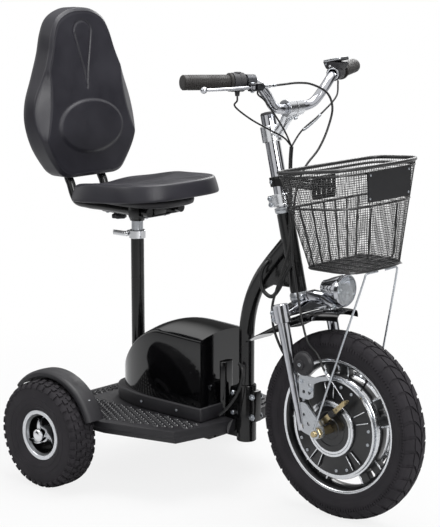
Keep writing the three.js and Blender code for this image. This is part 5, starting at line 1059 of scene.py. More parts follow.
axle_x, axle_z = 658, 214.8
wheel = Matrix.Translation(at(axle_x, 0, axle_z)) @ Matrix.Rotation(radians(90), 4, "X")
half_bar = [(0, 108), (6, 108), (7, 106.5), (7, 78), (10, 78)]
bar = turned([(r, -z) for r, z in half_bar] + half_bar[::-1], 40)
solids = [(moved(bar, wheel), yellow_zinc)]
for side in (-1, 1):
    end_at = wheel @ facing(-side)
    washer = turned([(7.2, 86.8), (13, 86.8), (13, 88.6), (7.2, 88.6)], 32)
    nut = turned([(7.2, 88.7), (12, 88.7), (12, 95), (10.6, 96.6), (7.2, 96.6)], 6)
    solids += [(moved(washer, end_at), satin_steel), (moved(nut, end_at), yellow_zinc)]
    for k in range(8):
        ridge = turned([(6.8, 98 + k), (7.15, 98.5 + k), (6.8, 99 + k)], 24)
        solids.append((moved(ridge, end_at), yellow_zinc))
piece("front_axle_bar", solids, "steering", ["front_axle"])


# FRONT WHEEL
# A wide tyre on a cast alloy wheel with five pairs of spokes round a hub motor. The casting is
# painted black, with its flange edges, spoke edges and motor ring turned bright afterwards.

# Black paint on a sand casting: satin, with a 1.4 mm grain and duller patches 40 mm wide.
black_casting, tree, shader, spot = finish("painted_black_casting", "#101012", 0.32, coat_weight=0.3)
sand = add(tree, "TexNoise", {"Vector": spot, "Scale": 1000 / 1.4, "Detail": 3})
mottle = add(tree, "TexNoise", {"Vector": spot, "Scale": 1000 / 40, "Detail": 3})
mottled = add(tree, "MapRange", {"Value": mottle.outputs[0], 1: 0.3, 2: 0.7, 3: 0.26, 4: 0.42})
tree.links.new(mottled.outputs[0], shader.inputs["Roughness"])
relief(tree, shader, sand.outputs[0], 0.3, 0.12)
# Bare turned aluminium: bright, its tool marks drawn as coarse as 3 mm so that they show.
bright_alloy, tree, shader, spot = finish("turned_bright_alloy", "#dcdee1", 0.2, 1.0)
tool_marks = add(tree, "TexNoise", {"Vector": spot, "Scale": 1000 / 3, "Detail": 4})
turned_marks = add(tree, "MapRange", {"Value": tool_marks.outputs[0], 1: 0.3, 2: 0.7, 3: 0.14, 4: 0.3})
tree.links.new(turned_marks.outputs[0], shader.inputs["Roughness"])


def front_crown(y):
    """The front tyre's radius by distance from the middle, and how far its blocks lean out."""
    return (210.8 - 0.0112 * y * y - max(0, y - 24) ** 1.25 * 0.55, 0.13 * (y > 22))


half_casing = [(147.3, 18.6), (150, 22), (153.2, 23.6), (157, 25.2), (163, 28.6), (172, 32.2),
               (184, 33.8), (193, 32.4), (200.4, 28.4), (205.2, 23), (209.1, 14), (210.8, 5)]
casing = turned([(r, -y) for r, y in half_casing] + half_casing[::-1], 96)
bead_lines = []
for r, y in ((160.4, 27.3), (165, 29.6), (190, 33.4)):
    for s in (-1, 1):
        bead_lines.append(turned([(r, s * (y - 0.5)), (r + 1.1, s * (y + 0.8)), (r + 2.2, s * (y - 0.3))], 96))
# One leaf-shaped block is cut in two by a groove, and four small ribs stand beyond it.
leaf, groove = [(0, 1.8), (9, 6), (16, 11), (20, 17), (21, 24), (17, 30.5)], 2.2
blocks = []
for part, outward in ((leaf[:4], 0), (leaf[3:], groove)):
    near_edge = [(s, y + outward) for s, y in part]
    far_edge = [(s + 27.5 - 0.08 * y, y + outward) for s, y in reversed(part)]
    blocks.append(near_edge + far_edge)
for k in range(4):
    s = 8.4 * k
    blocks.append([(37 + s, 33.2), (42 + s, 33.2), (43 + s, 35.4), (38 + s, 35.4)])
knobs = tread(blocks, reach=214, crown=front_crown, lift=4.1, count=40, cuts=(4, 10, 16, 22, 26, 29))
solids = [(casing, tyre_rubber), (knobs, tyre_rubber)] + [(b, tyre_rubber) for b in bead_lines]
piece("front_tyre_tread", [(moved(s, wheel), m) for s, m in solids], "front_wheel", ["front_tyre"], 40)

barrel = turned([(150.6, -23.2), (147, -19), (143, -14), (143, 14), (147, 19), (150.6, 23.2), (148, 23.2),
                 (143.6, 19), (139, 12), (138.4, -12), (143.6, -19), (148, -23.2)], 96)
solids = [(barrel, black_casting)]
for side in (-1, 1):
    flange = [(147.4, 21.6), (150.8, 23), (152.9, 23.2), (152.9, 24), (151.4, 24.7), (148.6, 24.4),
              (146.6, 22.6)]
    motor_ring = [(104, 8), (112.2, 8), (112.2, 26), (116.5, 27.5), (118.4, 28.8), (117.5, 30), (104.2, 30)]
    inner_lip = [(104.1, 29.9), (111.4, 30.2), (110.8, 33), (112.8, 34.6), (110, 35.2), (104.2, 33)]
    for profile in (flange, motor_ring, inner_lip):
        solids.append((turned([(r, side * z) for r, z in profile], 96), bright_alloy))
solids.append((turned([(104, -10), (112, -10), (112, 10), (104, 10)], 72), black_casting))


def polar(radius, degrees):
    """A place by its distance and its angle."""
    return radius * cos(radians(degrees)), radius * sin(radians(degrees))


spoke_pairs = [24 + 72 * pair for pair in range(5)]
windows = []
for middle in spoke_pairs:
    oval = [polar(137.4, middle + d) for d in (-4.4, 0, 4.4)]
    oval += [polar(116.5, middle + d) for d in (3.6, 0, -3.6)]
    windows.append(rounded(oval, 7, 3))
    wide = [polar(138.2, middle + 36 + d) for d in (-21, -14, -7, 0, 7, 14, 21)]
    wide += [polar(115.5, middle + 36 + d) for d in (20, 13, 6.5, 0, -6.5, -13, -20)]
    windows.append(rounded(wide, 6, 3))
web = slab(circle(141.5, count=120), -9, 9, "XY", [circle(110.5, count=90), *windows])
solids.append((eased(web, 1.4, 2, 50), black_casting))
for side in (-1, 1):
    for middle in spoke_pairs:
        for edge in (-1, 1):
            corners = ((138.6, 14.6), (138.6, 12.9), (114.5, 14.2), (114.5, 16.2))
            strip = [polar(radius, middle + edge * aside) for radius, aside in corners]
            solids.append((eased(slab(strip, side * 8.2, side * 9.6, "XY"), 0.4, 1, 50), bright_alloy))
solids = [(moved(s, wheel), m) for s, m in solids]
valve_at = wheel @ Matrix.Rotation(radians(60), 4, "Z") @ Matrix.Translation((140, 0, 0))
valve_at = valve_at @ Matrix.Rotation(radians(-90), 4, "Y")
valve = turned([(0, -4), (4, -4), (3.6, 12), (2.4, 14), (2.4, 24), (0, 24)], 20)
solids.append((moved(valve, valve_at), tyre_rubber))
piece("front_rim_cast", solids, "front_wheel", ["front_rim"], 40)

disc = [(10.4, 30.3), (104, 30.3), (111.2, 30.6), (111.2, 32), (108, 34.2)]
for name, side in (("right", 1), ("left", -1)):
    if side > 0:
        boss = [(66.5, 34.9), (64, 36), (64, 46), (57.8, 46), (57.8, 34), (10.4, 34)]
        ring = turned([(57.6, 44.6), (58.2, 47.2), (63.4, 47.2), (64.2, 45.6), (64.2, 43), (57.6, 43)], 72)
    else:
        boss = [(30, 35), (26, 37), (26, 40), (23.5, 42.2), (10.4, 42.2)]
        ring = turned([(10.6, 41.8), (22, 42.3), (22, 40), (10.6, 40)], 48)
    solids = [(turned(disc + boss, 96), black_casting), (ring, bright_alloy)]
    inner = 66 if side > 0 else 30
    for middle in spoke_pairs:
        for edge in (-1, 1):
            turn_to = Matrix.Rotation(radians(7.25 * edge + middle), 4, "Z")
            rib = eased(block((inner + 1, -1.9, 33), (105.5, 1.9, 39), 0), 1.2, 2)
            cap = block((inner + 3, -1, 38.6), (103.5, 1, 39.25), 0.3, 1)
            solids += [(moved(rib, turn_to), black_casting), (moved(cap, turn_to), bright_alloy)]
    for k in range(10):
        place = Vector((*polar(98, 42 + 36 * k if k % 2 else 60 + 36 * k), 34.2))
        solids.append((bolt(place, (0, 0, 1), 3.6, 2.6), bolt_zinc))
    solids = [(moved(s, wheel @ facing(side)), m) for s, m in solids]
    piece(f"motor_cover_cast_{name}", solids, "front_wheel", [f"motor_cover_{name}"], 40)


# BRAKE
# The drum's fixed plate closes the motor cover. A cam spindle comes out of it with a forged arm
# on its end, pulled by the bare wire, and a rubber block stops the arm from rattling. The motor's
# stator, hidden inside, keeps its solid and is given the look of cast alloy.
plate = turned([(10.4, 42.6), (56, 42.6), (56.9, 43.4), (56.9, 45.6), (55, 46.4), (40, 46.4), (38, 45),
                (24, 45), (22, 46.4), (10.4, 46.4)], 72)
band = turned([(52, 46.2), (57.2, 46.2), (57.2, 47), (52, 47)], 72)
solids = [(moved(plate, wheel), black_casting), (moved(band, wheel), bright_alloy)]
piece("brake_drum_plate", solids, "steering", ["brake_plate"])
cam_x, cam_z, arm_length, lift = axle_x - 6, axle_z + 18, 86, radians(42)
strap = [(arm_length + 4.7 * cos(a), 4.7 * sin(a)) for a in [pi * k / 8 - pi / 2 for k in range(9)]]
strap += [(60, 5.4), (30, 6.2)]
strap += [(7 * cos(a), 7 * sin(a)) for a in [pi / 2 + pi * k / 10 for k in range(11)]]
strap += [(30, -6.2), (60, -5.4)]
arm_at = Matrix.Translation(at(cam_x, 0, cam_z)) @ Matrix.Rotation(-lift, 4, "Y")
blank = slab(strap, -70, -66, "XZ", [circle(2.2, 40, 0, 14), circle(2.2, 54, 0, 14)])
solids = [(moved(blank, arm_at), yellow_zinc)]
solids.append((moved(rod((0, -72, 0), (0, -42.9, 0), 5, width=0.6), arm_at), yellow_zinc))
solids.append((moved(bolt((0, -70, 0), (0, -1, 0), 5.4, 3.4, socket=False), arm_at), bolt_zinc))
barrel_nut = rod((arm_length, -77, 0), (arm_length, -59, 0), 4.4, width=0.8)
solids.append((moved(barrel_nut, arm_at), yellow_zinc))
solids.append((moved(block((30, -74.5, -7), (46, -61.5, 7), 2.5), arm_at), rubber_grommet))
piece("brake_cam_arm", solids, "brake_cam", ["brake_arm"])
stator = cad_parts["motor_stator"]
stator.data.materials.clear()
stator.data.materials.append(finned_alloy)


# MUDGUARD
# A thin shell over the top and back of the front tyre, hung under the crown by one bolt, its tail
# flared and its side edges turned down. It has the battery cover's gloss black surface.
guard_radius = 260.67
rings = []
half_arc = [(0.5, -1.1, 0), (0.8, -3.6, 0), (0.93, -9, 0), (1, -20, 0)]
arc = through([(-y, drop, 0) for y, drop, _ in reversed(half_arc)] + [(0, 0, 0)] + half_arc, 3)
for k in range(41):
    along = k / 40
    angle = radians(88 + 60 * along)
    flare = 34 * along ** 4
    taper = 1 - 0.15 * smooth((0.2 - along) / 0.2)
    lip = 1 - smooth((along - 0.66) / 0.26)
    outer = [(p.x * 45 * taper, p.y * lip + 1.4) for p in arc]
    inner = [(p.x * 43 * taper, p.y * lip - 0.4 + 1.4 * lip * (abs(p.x) > 0.95)) for p in reversed(arc)]
    ring = []
    for y, h in outer + inner:
        radius = guard_radius + flare + h
        ring.append(at(axle_x + radius * cos(angle), y, axle_z + radius * sin(angle)))
    rings.append(ring)
solids = [(loft(rings), gloss_abs)]
crown_bolt = fork @ Vector((8, 0, -27))
solids.append((bolt(crown_bolt + Vector((0, 0, -3)), (0.2, 0, -1), 7, 4, socket=False), bolt_zinc))
piece("front_mudguard_sheet", solids, "steering", ["front_mudguard"])


# HEADLIGHT
# A spun steel bowl, chrome plated, with a ribbed glass lens held by a rim, on a bent channel that
# comes forward from the crown and ends in one bolt.
lamp_x, lamp_z = 597, 521
lamp_at = Matrix.Translation(at(lamp_x, 0, lamp_z)) @ Matrix.Rotation(radians(90), 4, "Y")
lamp_at = lamp_at @ Matrix.Scale(1.07, 4)
bowl = turned([(0, 0.2), (9, 0.6), (14.4, 3), (16, 9), (18.5, 15), (24, 28), (28.5, 41), (31.5, 51),
               (31.8, 54), (34, 54.6), (34, 60.5), (32.6, 62), (31, 62), (31, 56.6), (29.6, 55.6),
               (26, 41), (21, 26), (14, 16), (0, 13)], 72)
piece("headlight_bowl", [(moved(bowl, lamp_at), deep_chrome)], "steering", ["headlight_shell"])
# Pressed glass: clear and sharp, with upright flutes 5 mm apart that spread the light.
lens_glass, tree, shader, spot = finish("moulded_lens_glass", "#f4f8fa", 0.04, transmission_weight=0.85,
                                        ior=1.5)
flutes = add(tree, "TexWave", {"Vector": spot, "Scale": 1000 / 5 / 6.28 * 2}, bands_direction="Y")
relief(tree, shader, flutes.outputs[0], 0.6, 0.8)
lens = turned([(0, 56.4), (30.6, 56.4), (30.6, 61), (24, 62.8), (14, 64.2), (0, 64.9)], 72)
reflector = turned([(0, 18), (8, 19), (18, 30), (25, 43), (29, 55.6), (28.6, 55.8), (24.4, 43.4),
                    (17.4, 30.6), (7.8, 19.8), (0, 18.8)], 60)
bulb = turned([(0, 20), (5, 20), (5, 24), (7, 28), (7.4, 34), (5, 39), (0, 41)], 28)
solids = [(moved(lens, lamp_at), lens_glass), (moved(bulb, lamp_at), lens_glass)]
piece("headlight_lens_glass", solids, "steering", ["headlight_lens"])
piece("headlight_reflector", [(moved(reflector, lamp_at), deep_chrome)], "steering")

crown_top = fork @ Vector((28, 0, 0))
rear_x, tail_z = crown_top.x + axle_to_origin + 0.3, crown_top.z + 0.3
over = [(rear_x, tail_z), (rear_x, 507.4), (603, 505.2), (626, 495.4), (645, 488.4), (650, 486.6), (654, 485)]
under = [(653, 481.5), (624, 491), (602, 501), (rear_x + 3, 503), (rear_x + 3, tail_z)]
band = slab(laid_out(over + under), -15.5, 15.5, "XZ")
solids = [(eased(band, 1, 2, 60), deep_chrome)]
for side in (-1, 1):
    cheek = [(rear_x, tail_z), (rear_x, 506), (604, 504), (628, 494), (654, 484.4), (654, 481.2),
             (627, 482), (600, 484)]
    cheek = rounded(laid_out(cheek), 3)
    solids.append((eased(slab(cheek, side * 15.8, side * 13.4, "XZ"), 0.8, 2, 60), deep_chrome))
    solids.append((bolt(at(642, side * 15.8, 484.4), (0, side, 0), 4.6, 4.4, socket=False), bolt_zinc))
piece("headlight_channel", solids, "steering", ["headlight_bracket"])


# HORN
# A snail horn in moulded black plastic, bolted to a zinc plate on the right fork blade. The same
# plate carries the stop where the brake cable's outer ends.
plate_y = -blade_y
stop_at = at(682, plate_y, 345)
arm_tip = at(cam_x + arm_length * cos(lift), -68, cam_z + arm_length * sin(lift))
stop_way = (arm_tip - stop_at).normalized()
sheet = [(602, 286), (612, 284), (628, 284), (641, 292), (642, 322), (660, 331), (682, 337), (686, 342),
         (680, 346), (640, 336), (622, 338), (619, 362), (612, 366), (605, 362), (604, 338), (599, 328)]
sheet = rounded(laid_out(sheet), 4)
holes = [circle(radius, row_x(x), z, 16) for radius, x, z in ((4, 614, 300), (4, 630, 300), (3.4, 630, 318))]
solids = [(slab(sheet, plate_y - 2, plate_y + 2, "XZ", holes), satin_steel)]
solids.append((rod(stop_at - stop_way * 7, stop_at + stop_way * 7, 5, width=0.8), bright_alloy))
for x, z in ((606, 322), (634, 308)):
    solids.append((bolt(at(x, plate_y - 2, z), (0, -1, 0), 5, 4, socket=False), bolt_zinc))
piece("horn_plate_zinc", solids, "steering", ["horn_bracket"])

horn_at = Matrix.Translation(at(616, 0, 365)) @ Matrix.Rotation(radians(90), 4, "X")
horn_at = horn_at @ Matrix.Diagonal((1.16, 1.16, 1, 1))
shell = turned([(0, 86.4), (20, 86.4), (23.6, 87.4), (24, 89), (23.6, 91), (22, 91.6), (21.4, 92.8),
                (19.4, 98), (15, 100.3), (9.6, 100.4), (9, 101), (8.6, 104.4), (7.4, 105.2), (0, 105.2)], 64)
solids = [(moved(shell, horn_at), moulded_pp),
          (moved(bolt((0, 0, 104.6), (0, 0, 1), 3.4, 1), horn_at), bolt_zinc)]
for k in range(4):
    out, down = 2.6 * k, 0.9 * k
    ring = turned([(11 + out, 99.6 - down), (11.9 + out, 101 - down), (12.8 + out, 99.3 - down)], 56)
    solids.append((moved(ring, horn_at), moulded_pp))
piece("horn_snail", solids, "steering", ["horn"])


# BASKET
# Fine woven wire between thick welded wires, dipped in black plastic. The rim and the floor's edge
# are 8 mm and 6 mm wire, and a plain plate without lettering hangs on its front.

# Plastic-dipped wire: black with a soft shine, uneven in drips of 8 mm.
dipped_wire, tree, shader, spot = finish("plastic_dipped_wire", "#0c0c0d", 0.35, coat_weight=0.3)
drips = add(tree, "TexNoise", {"Vector": spot, "Scale": 1000 / 8, "Detail": 2})
dripped = add(tree, "MapRange", {"Value": drips.outputs[0], 1: 0.3, 2: 0.7, 3: 0.28, 4: 0.5})
tree.links.new(dripped.outputs[0], shader.inputs["Roughness"])
# Satin painted sheet: dark and even, with a speck drawn at 3 mm.
plain_plate, tree, shader, spot = finish("satin_black_sheet", "#141416", 0.4)
speck = add(tree, "TexNoise", {"Vector": spot, "Scale": 1000 / 3, "Detail": 2})
relief(tree, shader, speck.outputs[0], 0.2, 0.05)

# The basket's floor, its depth in front, and how much lower its rim is behind. Then the places of
# its walls and the halves of its widths, each at the floor and at the rim.
basket_low, basket_high, rim_drop = 580, 235, 17
rear_wall, front_wall = (626, 594), (760, 773)
rear_width, front_width = (106, 188), (103, 148)


def spread(ends, share):
    """A value between two others, by the share of the way from the first."""
    return ends[0] + (ends[1] - ends[0]) * share


def basket_place(share, turn, inset=0.0):
    """A place on the basket's wall, by height share and by angle round it."""
    rear = spread(rear_wall, share) + inset
    front = spread(front_wall, share) - inset
    halves = (spread(rear_width, share) - inset, spread(front_width, share) - inset)
    length = (front - rear) / 2
    x, y = squircle(turn, length, 1, 3.4 if cos(turn) > 0 else 8)
    along = (x / length + 1) / 2
    z = basket_low + share * (basket_high - rim_drop * (1 - along))
    return at((rear + front) / 2 + x, y * spread(halves, along), z)


def evenly(places, count, offset=0.5):
    """Places at even steps round a closed line."""
    ends = places + places[:1]
    reached = [0]
    for a, b in zip(ends, ends[1:]):
        reached.append(reached[-1] + (b - a).length)
    line, k = [], 0
    for i in range(count):
        goal = reached[-1] * (i + offset) / count
        while reached[k + 1] < goal:
            k += 1
        line.append(ends[k].lerp(ends[k + 1], (goal - reached[k]) / (reached[k + 1] - reached[k])))
    return line


def basket_loop(share, inset, count):
    """Even places round the basket at one height."""
    return evenly([basket_place(share, 2 * pi * (k + 0.5) / 480, inset) for k in range(480)], count)


# The real weave has even more wires. These are as fine and as many as the render can show.
fine, wires = 0.55, []
uprights, hoops = 148, 44
lines = [basket_loop(0.01 + 0.96 * k / 4, 3.2, uprights) for k in range(5)]
for k in range(uprights):
    wires.append((tube([line[k] for line in lines], fine, 0), dipped_wire))
for k in range(hoops):
    hoop = basket_loop(0.015 + 0.95 * k / (hoops - 1), 3.7, 72)
    wires.append((tube(hoop, fine, 0, closed=True), dipped_wire))
edge = basket_loop(0, 3.5, 96)
low_x, high_x = min(p.x for p in edge), max(p.x for p in edge)
for k in range(1, 28):
    x = low_x + (high_x - low_x) * k / 28
    reach = max(p.y for p in edge if abs(p.x - x) < 9)
    cross_wire = [Vector((x, y, basket_low + 2)) for y in (-reach, reach)]
    wires.append((tube(cross_wire, fine, 0), dipped_wire))
for k in range(-20, 21):
    y = k * 4.7
    along = [p.x for p in edge if abs(p.y - y) < 6]
    if along:
        long_wire = [Vector((x, y, basket_low + 2.6)) for x in (min(along), max(along))]
        wires.append((tube(long_wire, fine, 0), dipped_wire))
piece("basket_fine_mesh", wires, "steering", (), 180)

rim = [p - Vector((0, 0, 4.2)) for p in basket_loop(1, 4.2, 96)]
solids = [(tube(rim, 4, 4, closed=True), dipped_wire)]
for share, inset, radius in ((0.93, 3.4, 2.2), (0.62, 3.4, 2.1), (0.015, 3.6, 3)):
    solids.append((tube(basket_loop(share, inset, 96), radius, 3, closed=True), dipped_wire))
for k in range(6):
    y = (k - 2.5) / 2.5
    low, high = at(629.5, y * 74, basket_low + 3), basket_place(0.62, pi, 5)
    solids.append((tube([low, Vector((high.x, y * 104, high.z))], 2.1, 3), dipped_wire))
for y in (-60, -20, 20, 60):
    long_wire = [at(631, y * 1.1, basket_low + 4.4), at(751, y, basket_low + 4.4)]
    solids.append((tube(long_wire, 2.2, 3), dipped_wire))
for x in (668, 712):
    cross_wire = [at(x, y, basket_low + 3) for y in (-99, 99)]
    solids.append((tube(cross_wire, 2.2, 3), dipped_wire))
frame_line = []
for y, share in ((-46, 0.6), (-46, 0.14), (-40, 0.1), (40, 0.1), (46, 0.14), (46, 0.6)):
    front = spread(front_wall, share)
    frame_line.append(at(front - 5.2 - 0.0006 * y * y, y, basket_low + share * basket_high))
solids.append((tube(frame_line, 2.2, 3), dipped_wire))
piece("basket_thick_wires", solids, "steering", ["basket"])

label = rounded([(-70, 738), (76, 738), (79, 800), (-73, 800)], 5)
sheet = slab(label, row_x(771.4), row_x(772.6), "YZ")
outside = rounded([(-72, 736), (78, 736), (81, 802), (-75, 802)], 6)
inside = rounded([(-69.5, 739), (75.5, 739), (78.4, 799.4), (-72.4, 799.4)], 5)
border = slab(outside, row_x(770.8), row_x(772.2), "YZ", [inside])
solids = [(sheet, plain_plate), (border, dipped_wire)]
for y in (-65, 71):
    for z in (744, 794):
        solids.append((bolt(at(772.4, y, z), (1, 0, 0), 2.6, 1.2), bolt_zinc))
piece("basket_front_plate", solids, "steering")


# BASKET BRACKET
# A slotted plate behind the basket on two arms, welded to a band that is clamped on the column,
# with two bolts through its slots. Steel, powder coated.
band_low, band_high = fork @ Vector((0, 0, 262)), fork @ Vector((0, 0, 284))
ring = turned([(17.4, 262), (21, 262), (22, 263), (22, 283), (21, 284), (17.4, 284)], 48)
solids = [(moved(ring, fork), powder_coat)]
middle_z = (band_low.z + band_high.z) / 2
slots = [rounded(oblong(y - 3, 728, y + 3, 762), 2.9) for y in (-26, -9, 9, 26)]
face = slab(rounded(oblong(-40, 719, 40, 771), 7), row_x(594.6), row_x(597.5), "YZ", slots)
solids.append((face, powder_coat))
arm_rear, arm_front = band_low.x + 2, row_x(595.6)
for side in (-1, 1):
    arm = rounded(oblong(arm_rear, middle_z - 8, arm_front, middle_z + 8), 2)
    solids.append((slab(arm, side * 18.5, side * 21.5, "XZ"), powder_coat))
    solids.append((bolt(at(594.6, side * 26, 745), (-1, 0, 0), 5.4, 4, socket=False), bolt_zinc))
    solids.append((moved(bolt((-6, side * 20, 273), (0, side, 0), 4.4, 4), fork), bolt_zinc))
piece("basket_bracket_plate", solids, "steering", ["basket_bracket"])


# BASKET STAYS
# Two thin steel rods from flattened eyes on the axle's ends up to the basket's floor, where they
# turn in under its front edge. Bright zinc.
rod_radius, foot_z = 2.3, basket_low - 1.5
for name, side in (("right", -1), ("left", 1)):
    route = [(axle_x, 102, axle_z + 9.5), (axle_x + 4, 101.4, axle_z + 24), (755, 58, foot_z - 12),
             (757, 56, foot_z - 2), (757, 52, foot_z), (757, 14, foot_z)]
    route = [at(x, side * y, z) for x, y, z in route]
    solids = [(tube(through(route, 6), rod_radius, 4), bolt_zinc)]
    eye = slab(circle(12, 0, 0, 32), -1.5, 1.5, "XY", [circle(7.3, 0, 0, 24)])
    solids.append((moved(eye, wheel @ Matrix.Translation((0, 0, -side * 100.5))), bolt_zinc))
    washer = turned([(7.3, -2.9), (11.6, -2.9), (11.6, -1.6), (7.3, -1.6)], 24)
    solids.append((moved(washer, wheel @ Matrix.Translation((0, 0, -side * 102))), bolt_zinc))
    piece(f"basket_stay_rod_{name}", solids, "steering", [f"basket_stay_{name}"])


# STEERING COLUMN
# A polished tube over the fork's steerer, closed by a black cap, with a split clamp and two bolts
# at its foot, and the stem above. Chrome plated steel and forged alloy.
column = turned([(13, 214.5), (16, 214.5), (17, 215.5), (17, 423), (0, 423), (0, 420), (13, 420)], 64)
top_cap = turned([(0, 423.2), (17, 423.2), (17, 425), (15, 428.6), (8, 430), (0, 430)], 48)
solids = [(moved(column, fork), deep_chrome), (moved(top_cap, fork), moulded_pp)]
piece("steering_column_tube", solids, "steering", ["steering_column"])

clamp = turned([(17.3, 216), (22, 216), (23, 217), (23, 220.5), (22.2, 221.5), (22.2, 238.5), (23, 239.5),
                (23, 243), (22, 244), (17.3, 244)], 56)
solids = [(moved(clamp, fork), bright_alloy)]
for side in (-1, 1):
    lug = rounded(oblong(-19, side * 1.5, -34, side * 11), 2.5)
    solids.append((moved(eased(slab(lug, 216.5, 243.5, "XY"), 1.2, 2, 50), fork), bright_alloy))
    for z in (223, 237):
        pinch_bolt = bolt((-27.5, side * 11, z), (0, side, 0), 4.6, 4.6, socket=side < 0)
        solids.append((moved(pinch_bolt, fork), bolt_zinc))
piece("column_clamp_split", solids, "steering", ["column_clamp"])

sleeve = turned([(17.3, 362), (21.5, 362), (22.5, 363), (22.5, 397), (21.5, 398), (17.3, 398)], 56)
solids = [(moved(sleeve, fork), bright_alloy)]
neck, angles = [], [2 * pi * i / 28 for i in range(28)]
for k in range(9):
    t = k / 8
    centre = Vector((17 + 50 * t, 0, 380 + 41 * t ** 1.25))
    wide, tall = 13 + 5 * (2 * t - 1) ** 2, 11 + 3 * (2 * t - 1) ** 2
    ring = [Vector((-0.62 * tall * sin(a), wide * cos(a), 0.78 * tall * sin(a))) for a in angles]
    neck.append([fork @ (centre + place) for place in ring])
solids.append((loft(neck), bright_alloy))
bar_seat = fork @ Matrix.Translation((74, 0, 428)) @ Matrix.Rotation(radians(90), 4, "X")
for start, end in ((-25, -0.8), (0.8, 25)):
    eye = turned([(11.4, start), (18, start), (19, start + 1), (19, end - 1), (18, end), (11.4, end)], 56)
    solids.append((moved(eye, bar_seat), bright_alloy))
ears = rounded([(56, 409), (72, 405), (80, 408), (79, 415), (60, 421)], 3)
solids.append((moved(eased(slab(ears, -14, 14, "XZ"), 1.5, 2, 50), fork), bright_alloy))
for y in (-9, 9):
    solids.append((moved(bolt((70, y, 405.6), (0.15, 0, -1), 4.4, 5), fork), bolt_zinc))
solids.append((moved(bolt((-22, 0, 380), (-1, 0, 0), 4.4, 4), fork), bolt_zinc))
piece("stem_forged", solids, "steering", ["stem"])


# HANDLEBAR
# A bent steel tube of 22 mm: straight in its clamp, bent up and out, then swept back to the
# grips. Chrome plated.
bar_x, bar_z, bar_reach, bar_rise, bar_sweep = 503.73, 913.1, 292, 71, 57
# Shares of the way out, of the rise and of the sweep, from the middle to the end.
bar_shares = [(0, 0, 0), (0.154, 0, 0), (0.24, 0.11, 0.07), (0.342, 0.51, 0.16), (0.43, 0.82, 0.14),
              (0.514, 0.93, 0), (0.634, 0.9473, -0.2469), (1, 1, -1)]


def bar_point(share, side):
    """One of the tube's set places, on one side."""
    return at(bar_x + bar_sweep * share[2], side * bar_reach * share[0], bar_z + bar_rise * share[1])


def bar_at(distance, side):
    """A place on the straight end of the bar, by its distance out from the middle."""
    along = (distance - bar_reach * 0.514) / (bar_reach * 0.486)
    return bar_point(bar_shares[5], side).lerp(bar_point(bar_shares[7], side), along)


def on_bar(side, place):
    """Carries a shape made along Z to the bar's straight end, facing out."""
    return aim(bar_at(bar_reach, side) - bar_at(150, side), bar_at(place, side))


# How much longer the slanting end is than its reach across.
stretch = (bar_at(bar_reach, 1) - bar_at(150, 1)).length / (bar_reach - 150)
route = through([bar_point(s, -1) for s in reversed(bar_shares[1:])] + [bar_point(s, 1) for s in bar_shares], 8)
piece("handlebar_tube", [(tube(route, 11, 7), deep_chrome)], "steering", ["handlebar"])


# GRIPS
# Soft moulded rubber sleeves with a raised ring at the inner end, finely ribbed round. The right
# one is the throttle and turns on the bar.

# Soft rubber: dark and faintly brown, with a 1.6 mm stipple, and shinier where hands have held it.
grip_rubber, tree, shader, spot = finish("grip_rubber_moulded", "#1b1816", 0.5, specular_ior_level=0.4)
stipple = add(tree, "TexVoronoi", {"Vector": spot, "Scale": 1000 / 1.6})
handled = add(tree, "TexNoise", {"Vector": spot, "Scale": 1000 / 30, "Detail": 3})
worn = add(tree, "MapRange", {"Value": handled.outputs[0], 1: 0.3, 2: 0.7, 3: 0.38, 4: 0.6})
tree.links.new(worn.outputs[0], shader.inputs["Roughness"])
relief(tree, shader, stipple.outputs["Distance"], 0.5, 0.2)


def grip_shape(inner, side):
    """A ribbed sleeve from a distance along the bar to just past its end."""
    outer = 295
    profile = [(11.7, 0), (18.6, 0), (20, 1.4), (20, 5.6), (18.8, 7.2), (16.2, 8)]
    length = (outer - inner) * stretch
    for k in range(20):
        h = 11 + k * (length - 24) / 20
        profile += [(16.3, h), (16.45, h + 0.8), (16.45, h + 2.6), (16.3, h + 3.4), (15.9, h + 3.6),
                    (15.9, h + 4.3)]
    profile += [(16.4, length - 9), (16.4, length - 3), (14.6, length - 0.6), (9, length), (0, length),
                (0, length - 3.2), (11.7, length - 3.2)]
    return moved(turned(profile, 40), on_bar(side, inner))


piece("grip_sleeve_left", [(grip_shape(189, 1), grip_rubber)], "steering", ["grip_left"])
piece("throttle_grip_sleeve", [(grip_shape(187, -1), grip_rubber)], "throttle",
      ["throttle_grip"])
length = (186.7 - 160) * stretch
case = turned([(11.7, 0), (18, 0), (20.5, 2), (20.5, length * 0.45), (19.9, length * 0.47),
               (19.9, length * 0.53), (20.5, length * 0.55), (20.5, length - 1), (19.5, length),
               (11.7, length)], 48)
solids = [(moved(case, on_bar(-1, 160)), moulded_pp)]
middle = bar_at(173.5, -1)
wire_exit = rod(middle + Vector((0, 0, -18)), middle + Vector((0, 0, -29.8)), 6, 4.6, width=0.8)
solids.append((wire_exit, moulded_pp))
solids.append((block(middle + Vector((-6, -7, 17)), middle + Vector((7, 7, 22)), 2), moulded_pp))
for x in (-9, 9):
    solids.append((bolt(middle + Vector((x, 4, -17.6)), (0, 0, -1), 2.4, 1.4), bolt_zinc))
piece("throttle_case", solids, "steering", ["throttle_housing"])


# BRAKE LEVER
# A cast perch clamped on the bar with a barrel adjuster, and a chrome plated lever that turns on
# a pin between its cheeks and ends in a ball.

